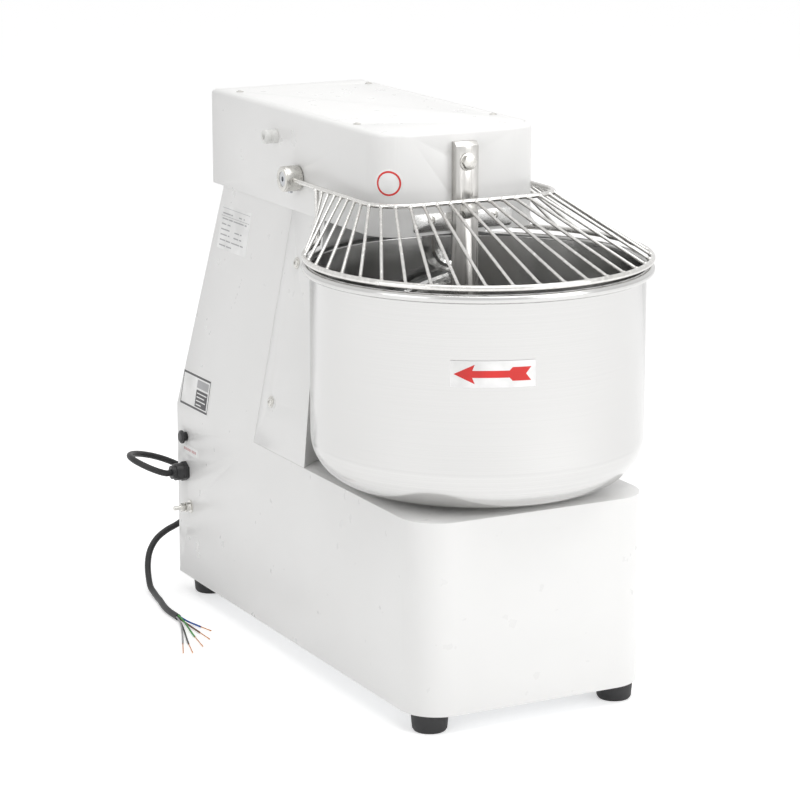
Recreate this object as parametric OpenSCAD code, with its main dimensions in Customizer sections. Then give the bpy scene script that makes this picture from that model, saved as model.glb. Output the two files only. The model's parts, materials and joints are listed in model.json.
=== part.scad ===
/* [Cabinet] */
// Width of the base
base_w = 318; // [312:1:330]
// Length of the base from front to back
base_l = 698; // [690:1:720]
// Height of the deck above the floor
deck_z = 259; // [250:1:280]
// Radius of the base's front corners
corner_r = 48; // [30:1:60]
// Thickness of the cabinet's sheet steel
sheet = 1.5; // [1:0.1:2]
// Gap between the bowl's rim and the tower's curved front
cove_gap = 9; // [8:0.5:12]
// Height of the tower above the deck
tower_h = 300; // [295:1:340]
// Width of the tower at its top
tower_top_w = 220; // [210:1:222]
// How far the tower's back leans forward at its top
back_lean = 54; // [30:1:60]
// Height of a rubber foot
foot_h = 24; // [15:1:35]
// Diameter of a rubber foot at its top
foot_d = 46; // [36:1:54]

/* [Head] */
// Width of the head
head_w = 222; // [220:1:240]
// Distance of the head's front behind the bowl's axis
head_start = 39; // [36:1:44]
// Height of the head
head_h = 125; // [115:1:140]
// Distance from the cabinet's back to the head's back
head_setback = 22; // [18:1:30]
// Radius of the head's front corners
head_corner_r = 40; // [25:1:50]
// Radius of the bend along the head's top edge
head_edge_r = 6; // [4:0.5:7]
// Distance from the head's outer wall to the lid's seam
lid_inset = 8; // [7.5:0.5:12]
// Thickness of the lid
lid_t = 1.5; // [1:0.1:2]

/* [Bowl] */
// Inner diameter of the bowl
bowl_d = 400; // [390:1:410]
// Depth of the bowl inside
bowl_depth = 262; // [250:1:265]
// Wall thickness of the bowl
bowl_wall = 1.2; // [1:0.1:2]
// Radius of the bowl's bottom corner
bowl_corner_r = 55; // [40:1:60]
// Diameter of the rolled rim
rim_d = 11; // [8:0.5:13]
// Gap between the deck and the bowl's bottom
bowl_gap = 8; // [6:0.5:15]
// How far the rim reaches past the base's front
overhang = 59; // [50:1:70]

/* [Tools in the bowl] */
// Diameter of the spiral's rod
hook_d = 21; // [18:0.5:22]
// Radius of the spiral to the middle of its rod
hook_r = 66; // [60:0.5:67]
// Height that one full turn of the spiral takes
hook_pitch = 160; // [140:1:180]
// Distance from the spiral's axis to the head's front
hook_setback = 81; // [80:0.5:84]
// Width of the breaker bar
bar_w = 30; // [24:1:36]
// Thickness of the breaker bar
bar_t = 12; // [10:0.5:12]
// Gap between the breaker bar's end and the bowl's bottom
bar_gap = 14; // [8:1:30]

/* [Guard] */
// Diameter of the guard's frame rod
frame_rod_d = 6; // [5:0.5:7]
// Diameter of the guard's ring rod
ring_rod_d = 7; // [6:0.5:8]
// Diameter of the guard's wires
wire_d = 4; // [3:0.5:5]
// Number of wires
wires = 31; // [15:1:35]
// Height of the guard's ring above the bowl's rim
ring_gap = 4; // [3:0.5:10]
// Angle by which each end of the ring passes the bowl's side
ring_past = 49; // [40:1:50]
// Distance of each side rod from the head's wall
arm_gap = 14; // [12:1:18]
// Distance of the front rod from the head's front
front_gap = 32; // [31:1:36]
// Bend radius of the guard's upper rod
arm_bend = 45; // [30:1:50]
// Height of the pivots above the head's underside
pivot_up = 43; // [40:1:50]
// Distance of the pivots behind the head's front
pivot_back = 222; // [215:1:225]
// Diameter of a pivot boss
boss_d = 32; // [26:1:34]
// Length of a pivot boss
boss_l = 23; // [20:1:26]

/* [Drive] */
// Diameter of the small pulleys of the bowl's drive
small_pulley_d = 66; // [62:1:68]
// Diameter of the large pulleys of the bowl's drive
large_pulley_d = 186; // [180:1:188]
// Diameter of the equal pulleys of the spiral's drive
even_pulley_d = 100; // [90:1:104]
// Width of a pulley
pulley_w = 18; // [16:0.5:20]
// Diameter of the drive shafts
shaft_d = 25; // [20:1:28]
// Diameter of the motor's pulley
motor_pulley_d = 66; // [60:1:70]
// Diameter of the pulley that the motor drives
lay_pulley_d = 186; // [170:1:188]
// Diameter of the motor
motor_d = 150; // [130:1:160]

/* [Controls] */
// Diameter of the start button
start_d = 22; // [16:1:26]
// Diameter of the stop button
stop_d = 30; // [24:1:34]
// Diameter of the timer's knob
timer_d = 36; // [28:1:40]
// Travel of the push buttons
press = 4; // [3:0.5:5]
// Diameter of the supply cord
cord_d = 8.5; // [7:0.5:10]

/* [Hidden] */
$fn = 48;

// Places along the machine, from the front (negative) to the back
rim_r = bowl_d / 2 + rim_d;
total_l = base_l + overhang;
back_y = total_l / 2;
front_y = back_y - base_l;
bowl_y = rim_r - total_l / 2;
cove_r = rim_r + cove_gap;
head_back_y = back_y - head_setback;
head_front_y = bowl_y + head_start;
head_l = head_back_y - head_front_y;
hook_y = head_front_y + hook_setback;
pivot_y = head_front_y + pivot_back;

// Heights
floor_z = foot_h;
head_z = deck_z + tower_h;
head_top = head_z + head_h;
bowl_z = deck_z + bowl_gap;
bowl_in_z = bowl_z + bowl_wall;
rim_z = bowl_in_z + bowl_depth - rim_d / 2;
ring_z = rim_z + rim_d / 2 + ring_gap + ring_rod_d / 2;
pivot_z = head_z + pivot_up;

// Lean of the tower's sides and back
half_w = base_w / 2;
half_top = tower_top_w / 2;
side_lean = atan((half_w - half_top) / tower_h);
side_s = tower_h / cos(side_lean);
rear_lean = atan(back_lean / tower_h);
rear_s = tower_h / cos(rear_lean);

// Seam between the cabinet's side and the front cover's flange
seam_gap = 0.6;
clear = 0.3;
run = 0.05;

// Cover seats
rear_t = sheet;
rear_seat = 2.2;
flange = 16;
cove_y = bowl_y + cove_r + sheet;
seam_low = cove_y + 79.5;
seam_high = cove_y + 60.5;
screw_r = 2;
screw_head_r = 4.2;
screw_head_h = 2;

// Belt drives: places of the shafts and heights of the belts
lay_y = cove_y + 36;
jack_x = half_w - sheet - large_pulley_d / 2 - 9;
lay_xy = [0, lay_y];
bowl_xy = [0, bowl_y];
hook_xy = [0, hook_y];
jack_xy = [jack_x, (bowl_y + lay_y) / 2];
belt_z = floor_z + 60;
jack_belt_z = belt_z + 44;
bowl_belt_z = jack_belt_z + 28;
spiral_belt_z = head_z + 62;
pulley_gap = 4;
motor_y = lay_y + motor_pulley_d / 2 + lay_pulley_d / 2 + pulley_gap;
motor_xy = [0, motor_y];
motor_low = belt_z + 28;

// Angle of a line from one point to another
function heading(a, b) = atan2(b[1] - a[1], b[0] - a[0]);
function arm_dist(a, b) = norm([b[0] - a[0], b[1] - a[1]]);

// ---- general shapes ----

module rod(a, b, r) {
    v = b - a;
    translate(a)
        rotate([0, acos(v[2] / norm(v)), atan2(v[1], v[0])])
            cylinder(r = r, h = norm(v));
}

module ring(r_out, r_in, h) {
    difference() {
        cylinder(r = r_out, h = h);
        translate([0, 0, -1]) cylinder(r = r_in, h = h + 2);
    }
}

// Along X, starting at the origin
module x_cylinder(r, h) {
    rotate([0, 90, 0]) cylinder(r = r, h = h);
}

// Plan outline with round front corners; half width, front and back
module plan(half, y0, y1, r) {
    translate([-half, y0 + r]) square([2 * half, y1 - y0 - r]);
    translate([-half + r, y0]) square([2 * (half - r), r + 1]);
    for (s = [-1, 1]) translate([s * (half - r), y0 + r]) circle(r = r);
}

// Plan outline with round corners at the back as well
module closed_plan(half, y0, y1, r, back_r) {
    intersection() {
        plan(half, y0, y1 + 1, r);
        union() {
            translate([-half, y0]) square([2 * half, y1 - y0 - back_r]);
            translate([-half + back_r, y0]) square([2 * (half - back_r), y1 - y0]);
            for (s = [-1, 1]) translate([s * (half - back_r), y1 - back_r]) circle(r = back_r);
        }
    }
}

// Puts a flat outline, drawn as (y, height along the slope), on the tower's left side
module on_side(depth = 0) {
    translate([-half_w, 0, deck_z])
        rotate([0, side_lean, 0])
            translate([depth, 0, 0])
                rotate([90, 0, 90])
                    children();
}

// Puts a flat outline, drawn as (x, height along the slope), on the tower's back
module on_back(depth = 0) {
    translate([0, back_y, deck_z])
        rotate([rear_lean, 0, 0])
            translate([0, -depth, 0])
                rotate([90, 0, 0])
                    children();
}

module both_sides() {
    children();
    mirror([1, 0, 0]) children();
}

// Tube along a route: rings carried without twist, then joined into one skin
function unit(v) = v / norm(v);
function tangent(p, i) = unit(p[min(i + 1, len(p) - 1)] - p[max(i - 1, 0)]);
function level(v, t) = unit(v - (v * t) * t);
function normals(p, i, v) =
    let (n = level(v, tangent(p, i)))
    i == len(p) - 1 ? [n] : concat([n], normals(p, i + 1, n));
function ring_points(c, t, n, r, sides) =
    let (b = cross(t, n))
    [for (k = [0:sides - 1]) c + r * (cos(360 * k / sides) * n + sin(360 * k / sides) * b)];
module tube(p, r, sides, start) {
    n = normals(p, 0, start);
    count = len(p);
    points = [for (i = [0:count - 1]) each ring_points(p[i], tangent(p, i), n[i], r, sides)];
    skin = [for (i = [0:count - 2], k = [0:sides - 1])
        let (a = i * sides + k, b = i * sides + (k + 1) % sides)
        each [[a, a + sides, b], [b, a + sides, b + sides]]];
    ends = [
        [for (k = [0:sides - 1]) k],
        [for (k = [sides - 1:-1:0]) (count - 1) * sides + k]
    ];
    polyhedron(points = points, faces = concat(skin, ends));
}

// ---- cabinet ----

module wall_screw_holes(r) {
    for (p = side_screw_places) translate([p[0], p[1], -5]) cylinder(r = r, h = 20);
}

side_screw_places = [[seam_low - 34, 60], [seam_low - 52, 241]];
gland_at = [back_y - 27, 171];
reset_at = [back_y - 29, 219];
stud_at = [back_y - 39, 124];
plate_y = back_y - 190;
plate_z0 = 118;
plate_h = 106;
plate_w = 78;
start_at = [plate_y + 20, plate_z0 + 34];
stop_at = [plate_y + 56, plate_z0 + 34];
timer_at = [plate_y + 39, plate_z0 + 78];
button_stem_r = 6;

module wall_hole(at, r, side) {
    translate([side * half_w - 5, at[0], at[1]]) x_cylinder(r, 10);
}

module cabinet() {
    color("white") {
        difference() {
            union() {
                difference() {
                    translate([0, 0, floor_z])
                        linear_extrude(deck_z - floor_z) plan(half_w, front_y, back_y, corner_r);
                    translate([0, 0, floor_z - 1])
                        linear_extrude(deck_z - floor_z + 1 - sheet)
                            plan(half_w - sheet, front_y + sheet, back_y + 1, corner_r - sheet);
                }
                // Frame behind the rear cover, lower and leaning part
                translate([-half_w, back_y - rear_seat - rear_t - sheet, floor_z])
                    cube([base_w, sheet, deck_z - floor_z]);
            }
            // Opening in the deck under the tower
            translate([-half_w + flange, cove_y + flange, deck_z - 5])
                cube([base_w - 2 * flange, back_y - cove_y - 2 * flange, 10]);
            // Opening behind the rear cover
            translate([-half_w + flange, back_y - 20, floor_z + 14])
                cube([base_w - 2 * flange, 40, deck_z]);
            // Room in the deck's back edge for the rear cover
            translate([-half_w + sheet, back_y - rear_seat - rear_t - clear, deck_z - 5])
                cube([base_w - 2 * sheet, 10, 10]);
            translate([0, bowl_y, deck_z - 5]) cylinder(r = housing_neck_r + clear, h = 10);
            wall_hole(gland_at, gland_r + clear, -1);
            wall_hole(reset_at, button_stem_r + clear, -1);
            wall_hole(stud_at, stud_r + clear, -1);
            wall_hole(start_at, button_stem_r + clear, 1);
            wall_hole(stop_at, button_stem_r + clear, 1);
            wall_hole(timer_at, button_stem_r + clear, 1);
        }
        both_sides() {
            on_side() linear_extrude(sheet) polygon([
                [seam_low, 0], [back_y, 0], [back_y - back_lean, side_s], [seam_high, side_s]]);
            // Tab that the front cover's flange is screwed to
            difference() {
                on_side(sheet) linear_extrude(sheet) polygon([
                    [seam_low - 50, 0], [seam_low + 8, 0],
                    [seam_high + 8, side_s], [seam_high - 50, side_s]]);
                on_side() wall_screw_holes(screw_r + 0.2);
            }
            // Seat of the head on the tower's top
            translate([-half_top + 1, seam_high + 1, head_z - sheet])
                cube([flange, back_y - back_lean - seam_high - 1 - flange, sheet]);
        }
        difference() {
            on_back(rear_seat + rear_t) linear_extrude(sheet) polygon([
                [-half_w + 1, -0.2], [half_w - 1, -0.2], [half_top - 1, rear_s], [-half_top + 1, rear_s]]);
            on_back(0) translate([0, 0, -5]) linear_extrude(20) polygon([
                [-half_w + flange, -20], [half_w - flange, -20],
                [half_top - flange, rear_s - flange], [-half_top + flange, rear_s - flange]]);
        }
    }
}

foot_places = [for (x = [-1, 1], y = [front_y + 34, back_y - 30]) [x * (half_w - 32), y]];
floor_t = 2;

module base_floor() {
    color("silver") difference() {
        translate([0, 0, floor_z]) linear_extrude(floor_t)
            plan(half_w - sheet - clear, front_y + sheet + clear,
                back_y - rear_seat - rear_t - sheet - clear, corner_r - sheet - clear);
        for (p = foot_places) translate([p[0], p[1], floor_z - 1]) cylinder(r = 4.2, h = floor_t + 2);
    }
}

// Foot with its stud and nut moulded in one
module rubber_feet() {
    color([0.08, 0.08, 0.08]) for (p = foot_places) translate([p[0], p[1], 0]) {
        cylinder(r1 = foot_d / 2 - 4, r2 = foot_d / 2 - 2, h = 3);
        translate([0, 0, 3]) cylinder(r1 = foot_d / 2 - 2, r2 = foot_d / 2, h = foot_h - 3);
        cylinder(r = 4, h = foot_h + floor_t + 8);
        translate([0, 0, foot_h + floor_t]) cylinder(r = 7.5, h = 6, $fn = 6);
    }
}

// Tower's sloping section, shrunk by the inset, from the bowl's axis backwards
module tower_space(inset, below) {
    k = (half_w - half_top) / tower_h;
    translate([0, back_y, deck_z]) rotate([90, 0, 0]) linear_extrude(back_y - bowl_y) polygon([
        [-half_w + inset + k * below, below], [half_w - inset - k * below, below],
        [half_top - inset, tower_h], [-half_top + inset, tower_h]]);
}

// Curved front of the tower, round the bowl, with a flange along each side
module front_cover() {
    color("white") difference() {
        tower_space(0, clear);
        translate([0, bowl_y, deck_z - 1]) cylinder(r = cove_r, h = tower_h + 2);
        difference() {
            tower_space(sheet, 0);
            translate([0, bowl_y, deck_z - 1]) cylinder(r = cove_r + sheet, h = tower_h + 2);
        }
        translate([-half_w - 1, 0, deck_z]) rotate([90, 0, 90]) linear_extrude(base_w + 2) polygon([
            [seam_low - seam_gap, -1], [back_y + 1, -1],
            [back_y + 1, tower_h + 1], [seam_high - seam_gap, tower_h + 1]]);
        both_sides() on_side() wall_screw_holes(screw_r + 0.2);
    }
}

module pan_screw(washer_r, length) {
    cylinder(r = washer_r, h = 1);
    translate([0, 0, 1]) cylinder(r = washer_r * 0.72, h = 1.6);
    translate([0, 0, 2.6]) cylinder(r1 = washer_r * 0.72, r2 = washer_r * 0.45, h = 0.9);
    translate([0, 0, -length]) cylinder(r = screw_r, h = length);
}

module side_screws() {
    color("silver") both_sides()
        for (p = side_screw_places)
            on_side() translate([p[0], p[1], 0]) mirror([0, 0, 1]) pan_screw(7.5, 8);
}

louvre_h = 5;
louvre_w = 70;

module louvres(rows, z0, step) {
    for (i = [0:rows - 1], x = [-1, 1])
        translate([x * 45 - louvre_w / 2, z0 + i * step]) square([louvre_w, louvre_h]);
}

rear_low_screws = [for (x = [-1, 1], z = [floor_z + 8, deck_z - 40]) [x * (half_w - 9), z]];
rear_high_screws = [for (x = [-1, 1], i = [0, 1])
    let (s = 50 + i * (rear_s - 110))
    [x * (half_w - 9.5 - (half_w - half_top) * s / rear_s), s]];

module rear_cover() {
    gap = sheet + clear;
    color("white") {
        difference() {
            translate([0, back_y - rear_seat, floor_z]) rotate([90, 0, 0]) linear_extrude(rear_t)
                difference() {
                    translate([-half_w + gap, 0]) square([base_w - 2 * gap, deck_z - floor_z]);
                    louvres(9, 45, 15);
                    for (p = rear_low_screws) translate([p[0], p[1] - floor_z]) circle(r = screw_r + 0.2);
                }
        }
        on_back(rear_seat) linear_extrude(rear_t) difference() {
            polygon([[-half_w + gap, -0.3], [half_w - gap, -0.3],
                [half_top - gap, rear_s - clear], [-half_top + gap, rear_s - clear]]);
            louvres(6, 150, 15);
            for (p = rear_high_screws) translate(p) circle(r = screw_r + 0.2);
        }
    }
}

module rear_screws() {
    color("silver") {
        for (p = rear_low_screws) translate([p[0], back_y - rear_seat, p[1]]) rotate([-90, 0, 0]) {
            cylinder(r = screw_head_r, h = screw_head_h);
            translate([0, 0, -rear_t]) cylinder(r = screw_r, h = rear_t);
        }
        for (p = rear_high_screws) on_back(rear_seat) translate([p[0], p[1], -screw_head_h]) {
            cylinder(r = screw_head_r, h = screw_head_h);
            cylinder(r = screw_r, h = screw_head_h + rear_t);
        }
    }
}

// ---- head ----

head_half = head_w / 2;
bush_r = 10;

module head_plan(inset) {
    closed_plan(head_half - inset, head_front_y + inset, head_back_y - inset,
        head_corner_r - inset, max(1, head_edge_r - inset));
}

// Rectangle standing on the origin line with its top corner at the far end rounded
module round_top(w, h, r) {
    square([w - r, h]);
    square([w, h - r]);
    translate([w - r, h - r]) circle(r = r);
}

// Outer body of the head with its top edge rounded
module head_body() {
    e = head_edge_r;
    r = head_corner_r;
    y = head_front_y + r;
    intersection() {
        translate([0, head_back_y, head_z]) rotate([90, 0, 0]) linear_extrude(head_l - r) both_sides()
            round_top(head_half, head_h, e);
        translate([-head_half - 1, y, head_z]) rotate([90, 0, 90]) linear_extrude(head_w + 2)
            round_top(head_l - r, head_h, e);
    }
    translate([head_half - r, y + 1, head_z]) rotate([90, 0, -90]) linear_extrude(head_w - 2 * r)
        round_top(r + 1, head_h, e);
    for (s = [-1, 1]) translate([s * (head_half - r), y, head_z])
        rotate_extrude() round_top(r, head_h, e);
}

ledge = 14;
bar_bolt_z = [head_z + 29, head_z + 87];

module head_shell() {
    color("white") difference() {
        head_body();
        translate([0, 0, head_z - 1])
            linear_extrude(head_h - head_edge_r - 1) head_plan(sheet);
        translate([0, 0, head_z])
            linear_extrude(head_h - lid_t - sheet) head_plan(head_edge_r + 1);
        translate([0, 0, head_top - lid_t]) linear_extrude(lid_t + 1) head_plan(lid_inset);
        translate([0, 0, head_top - 20]) linear_extrude(25) head_plan(lid_inset + ledge);
        for (p = lid_screw_places) translate([p[0], p[1], head_top - 10]) cylinder(r = screw_r + 0.2, h = 20);
        for (s = [-1, 1])
            translate([s * head_half - 5, pivot_y, pivot_z]) x_cylinder(bush_r + run, 10);
        for (z = bar_bolt_z) translate([0, head_front_y + 5, z]) rotate([90, 0, 0]) cylinder(r = 5.2, h = 10);
    }
}

lid_screw_places = [for (x = [-1, 1], y = [head_front_y + 94, head_back_y - 52])
    [x * (head_half - lid_inset - 9), y]];

module head_lid() {
    color("white") difference() {
        translate([0, 0, head_top - lid_t]) linear_extrude(lid_t) head_plan(lid_inset + 0.5);
        for (p = lid_screw_places) translate([p[0], p[1], head_top - 10]) cylinder(r = screw_r + 0.2, h = 20);
    }
}

module lid_screws() {
    color("silver") for (p = lid_screw_places) translate([p[0], p[1], head_top]) {
        rotate_extrude() intersection() {
            translate([0, -6]) circle(r = 8);
            square([5, 3]);
        }
        translate([0, 0, -8]) cylinder(r = screw_r, h = 8);
    }
}

head_floor_t = 3;

module head_floor() {
    color("silver") difference() {
        translate([0, 0, head_z + 0.1]) linear_extrude(head_floor_t) head_plan(sheet + clear);
        translate([0, hook_y, head_z - 1]) cylinder(r = housing_neck_r + clear, h = 10);
        translate([0, lay_y, head_z - 1]) cylinder(r = shaft_d / 2 + 6, h = 10);
    }
}

splash_w = 134;
splash_h = 22;
splash_z = head_z + 4;
splash_t = 1.5;
splash_screw_at = [splash_w / 2 - 24, splash_z + 14];

module splash_plate() {
    r = 4;
    color("silver") translate([0, head_front_y, 0]) rotate([90, 0, 0]) linear_extrude(splash_t)
        difference() {
            union() {
                translate([-splash_w / 2, splash_z + r]) square([splash_w, splash_h - r]);
                translate([-splash_w / 2 + r, splash_z]) square([splash_w - 2 * r, splash_h]);
                for (s = [-1, 1]) translate([s * (splash_w / 2 - r), splash_z + r]) circle(r = r);
            }
            translate([-bar_w / 2 - clear, splash_z - 1]) square([bar_w + 2 * clear, splash_h + 2]);
        }
}

module splash_screws() {
    color("silver") for (s = [-1, 1])
        translate([s * splash_screw_at[0], head_front_y - splash_t, splash_screw_at[1]])
            rotate([90, 0, 0]) rotate_extrude() intersection() {
                translate([0, -3]) circle(r = 6);
                square([6, 3]);
            }
}

module breaker_bar() {
    z0 = bowl_in_z + bar_gap;
    z1 = head_z + 111;
    chamfer = 5;
    color("silver") difference() {
        translate([-bar_w / 2, head_front_y, 0]) rotate([90, 0, 90]) linear_extrude(bar_w) polygon([
            [0, z0], [-bar_t, z0 + 2], [-bar_t, z1 - chamfer], [-bar_t + chamfer, z1], [0, z1]]);
        for (z = bar_bolt_z)
            translate([0, head_front_y + 1, z]) rotate([90, 0, 0]) cylinder(r = 5.2, h = bar_t + 2);
    }
}

module bar_bolts() {
    color("silver") for (z = bar_bolt_z) translate([0, head_front_y - bar_t, z]) rotate([90, 0, 0]) {
        ring(10.5, 5.1, 1.8);
        translate([0, 0, 1.8]) cylinder(r = 9.2, h = 5.6, $fn = 6);
        translate([0, 0, -bar_t - 14]) cylinder(r = 5, h = bar_t + 16);
        translate([0, 0, -bar_t - sheet - 7]) cylinder(r = 9.2, h = 7, $fn = 6);
    }
}

peg_at = [pivot_y + 65, pivot_z + 44];
peg_r = 9;
peg_l = 18;

module stop_peg() {
    color("ivory") translate([-head_half - peg_l, peg_at[0], peg_at[1]]) difference() {
        union() {
            x_cylinder(peg_r - 1, peg_l);
            translate([1, 0, 0]) x_cylinder(peg_r, 7);
            translate([10, 0, 0]) x_cylinder(peg_r, peg_l - 10);
        }
        translate([-1, 0, 0]) x_cylinder(4, 7);
    }
}

// ---- bowl ----

// Profile of the bowl as a body of the given radius, bottom and corner
module bowl_profile(r, z0, corner, z1) {
    square([r - corner, z1 - z0]);
    translate([0, corner]) square([r, z1 - z0 - corner]);
    translate([r - corner, corner]) circle(r = corner);
}

module bowl() {
    top = rim_z + rim_d / 2;
    color("silver") translate([0, bowl_y, 0]) rotate_extrude($fn = 96) intersection() {
        union() {
            difference() {
                translate([0, bowl_z])
                    bowl_profile(bowl_d / 2 + bowl_wall, bowl_z, bowl_corner_r + bowl_wall, rim_z);
                translate([-1, bowl_in_z]) square([1, 1]);
                translate([0, bowl_in_z]) bowl_profile(bowl_d / 2, bowl_in_z, bowl_corner_r, top + 10);
            }
            translate([bowl_d / 2 + rim_d / 2, rim_z]) difference() {
                circle(r = rim_d / 2);
                circle(r = rim_d / 2 - bowl_wall);
            }
        }
        square([rim_r + 10, top + 10]);
    }
}

housing_r = 40;
housing_neck_r = 30;
hub_r = 60;
hub_t = 5;
bowl_shaft_low = bowl_belt_z - pulley_w / 2 - 6;

module bowl_shaft() {
    color("gray") translate([0, bowl_y, 0]) {
        translate([0, 0, bowl_z - hub_t]) cylinder(r = hub_r, h = hub_t);
        translate([0, 0, bowl_shaft_low]) cylinder(r = shaft_d / 2, h = bowl_z - bowl_shaft_low - 1);
    }
}

function dir(angle) = [cos(angle), sin(angle)];
// The straight runs lie this much inside the circles' common tangents
run_dip = 0.1;

// Outline of a belt's outer edge: two circles and the straight runs between them
module belt_outline(ra, rb, c) {
    tilt = asin((rb - ra) / c);
    up = dir(90 + tilt);
    down = dir(-90 - tilt);
    pa = ra - run_dip;
    pb = rb - run_dip;
    circle(r = ra);
    translate([c, 0]) circle(r = rb);
    polygon([pa * up, pa * down, [c, 0] + pb * down, [c, 0] + pb * up]);
}

// Grooved pulley for a V-belt, centred on the origin
module pulley(d, bore_r) {
    groove = 8;
    rotate_extrude() difference() {
        translate([bore_r + run, -pulley_w / 2]) square([d / 2 - bore_r - run, pulley_w]);
        polygon([[d / 2 - groove, -4], [d / 2 + 1, -7], [d / 2 + 1, 7], [d / 2 - groove, 4]]);
    }
}

// Large pulley with five round openings in its web
module web_pulley(d) {
    difference() {
        pulley(d, shaft_d / 2);
        for (i = [0:4]) rotate(i * 72) translate([d * 0.27, 0, -pulley_w]) cylinder(r = d * 0.1, h = 2 * pulley_w);
    }
}

// V-belt round two pulleys, given by their centres and diameters
module belt(a, da, b, db) {
    translate([a[0], a[1], 0]) rotate(heading(a, b))
        for (layer = [[5.2, -3], [4.2, -7]])
            translate([0, 0, -layer[0]]) linear_extrude(2 * layer[0]) difference() {
                belt_outline(da / 2 + layer[1] + 4, db / 2 + layer[1] + 4, arm_dist(a, b));
                belt_outline(da / 2 + layer[1] - 0.2, db / 2 + layer[1] - 0.2, arm_dist(a, b));
            }
}

module bowl_pulley() {
    color("dimgray") translate([0, bowl_y, bowl_belt_z]) web_pulley(large_pulley_d);
}

// Flanged housing that hangs under the deck and carries two bearings
module bowl_housing() {
    top = deck_z - sheet;
    low = bowl_belt_z + 22;
    color("gray") translate([0, bowl_y, 0]) difference() {
        union() {
            translate([0, 0, top - 8]) cylinder(r = 70, h = 8);
            translate([0, 0, low]) cylinder(r = housing_r, h = top - low);
            translate([0, 0, top - 1]) cylinder(r = housing_neck_r, h = sheet + 2);
        }
        translate([0, 0, low - 1]) cylinder(r = shaft_d / 2 + 4, h = 200);
        translate([0, 0, low - 1]) cylinder(r = bearing_r, h = bearing_h + 1);
        translate([0, 0, top - 8 - bearing_h]) cylinder(r = bearing_r, h = bearing_h + 20);
    }
}

bearing_r = 26;
bearing_h = 15;

// Ball bearing: two rings, shields between them
module bearing() {
    in_r = shaft_d / 2;
    ring(bearing_r, bearing_r - 4, bearing_h);
    ring(in_r + 4, in_r + run, bearing_h);
    translate([0, 0, 1]) ring(bearing_r - 3.9, in_r + 3.9, bearing_h - 2);
}

module bowl_bearings() {
    top = deck_z - sheet;
    color("lightgray") translate([0, bowl_y, 0]) {
        translate([0, 0, bowl_belt_z + 22]) bearing();
        translate([0, 0, top - 8 - bearing_h]) bearing();
    }
}

label_turn = -90 - 23.9;
label_half = 14;
label_up = 155;
label_z = bowl_z + label_up;
label_h = 31;
label_t = 0.4;

module arrow_label() {
    r = bowl_d / 2 + bowl_wall;
    color("white") translate([0, bowl_y, label_z]) rotate(label_turn - label_half)
        rotate_extrude(angle = 2 * label_half, $fn = 96)
            translate([r + 0.1, 0]) square([label_t, label_h]);
}

// ---- spiral ----

hook_top = head_z - 3;
hook_bend = 25;
hook_level = head_z - 53;
hook_start = hook_level - 6;
hook_end_z = bowl_in_z + hook_d / 2 + 8;
hook_turns = (hook_start - hook_end_z) / hook_pitch;
hook_first = 30;

function bezier(a, b, c, d, t) =
    pow(1 - t, 3) * a + 3 * t * pow(1 - t, 2) * b + 3 * t * t * (1 - t) * c + pow(t, 3) * d;
// Radius shrinks near the bowl's round bottom corner
function hook_radius(z) = hook_r - max(0, bowl_in_z + bowl_corner_r + 14 - z) * 0.6;
function hook_point(a) =
    let (z = hook_start - hook_pitch * a / 360)
    [hook_radius(z) * cos(a), hook_radius(z) * sin(a), z];
hook_last = 360 * hook_turns;
hook_run = unit(hook_point(hook_first + 1) - hook_point(hook_first));
hook_stop = hook_point(hook_last);
hook_way = unit(hook_point(hook_last) - hook_point(hook_last - 1));
hook_path = concat(
    [[0, 0, hook_top], [0, 0, hook_level + hook_bend + 8]],
    [for (a = [0:15:75]) [hook_bend * (1 - cos(a)), 0, hook_level + hook_bend * (1 - sin(a))]],
    [for (t = [0:1 / 6:0.99]) bezier([hook_bend, 0, hook_level], [hook_r * 0.85, 0, hook_level],
        hook_point(hook_first) - 22 * hook_run, hook_point(hook_first), t)],
    [for (a = [hook_first:8:hook_last - 4]) hook_point(a)],
    [for (t = [0:1 / 5:1.01]) bezier(hook_stop, hook_stop + 18 * hook_way,
        [hook_stop[1] * 0.2 - 14, -hook_stop[0] * 0.2 + 8, hook_end_z], [0, 0, hook_end_z], t)]
);

module spiral_hook() {
    color("silver") translate([0, hook_y, 0]) tube(hook_path, hook_d / 2, 16, [1, 0, 0]);
}

spiral_low = hook_top;
spiral_high = spiral_belt_z + pulley_w / 2 + 8;
spiral_top = spiral_belt_z - pulley_w / 2 - 3;

module spiral_shaft() {
    color("silver") translate([0, hook_y, 0]) {
        translate([0, 0, spiral_low]) cylinder(r = shaft_d / 2, h = spiral_high - spiral_low);
        translate([0, 0, spiral_belt_z + pulley_w / 2 + 0.5]) cylinder(r = 17, h = 5, $fn = 6);
    }
}

module spiral_pulley() {
    color("dimgray") translate([0, hook_y, spiral_belt_z]) pulley(even_pulley_d, shaft_d / 2);
}

module spiral_housing() {
    base = head_z + 0.1 + head_floor_t;
    color("gray") translate([0, hook_y, 0]) difference() {
        union() {
            translate([0, 0, base]) cylinder(r = 62, h = 8);
            translate([0, 0, base]) cylinder(r = 36, h = spiral_top - base);
            translate([0, 0, head_z]) cylinder(r = housing_neck_r, h = 5);
        }
        translate([0, 0, head_z - 1]) cylinder(r = shaft_d / 2 + 2, h = 200);
        translate([0, 0, head_z + 4]) cylinder(r = bearing_r, h = 100);
    }
}

module spiral_bearings() {
    color("lightgray") translate([0, hook_y, 0]) {
        translate([0, 0, head_z + 4]) bearing();
        translate([0, 0, spiral_top - bearing_h]) bearing();
    }
}

// ---- lay shaft, jack shaft and motor ----

lay_low = floor_z + floor_t + 8;
lay_high = spiral_high;

module lay_shaft() {
    color("silver") translate([0, lay_y, lay_low]) cylinder(r = shaft_d / 2, h = lay_high - lay_low);
}

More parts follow.
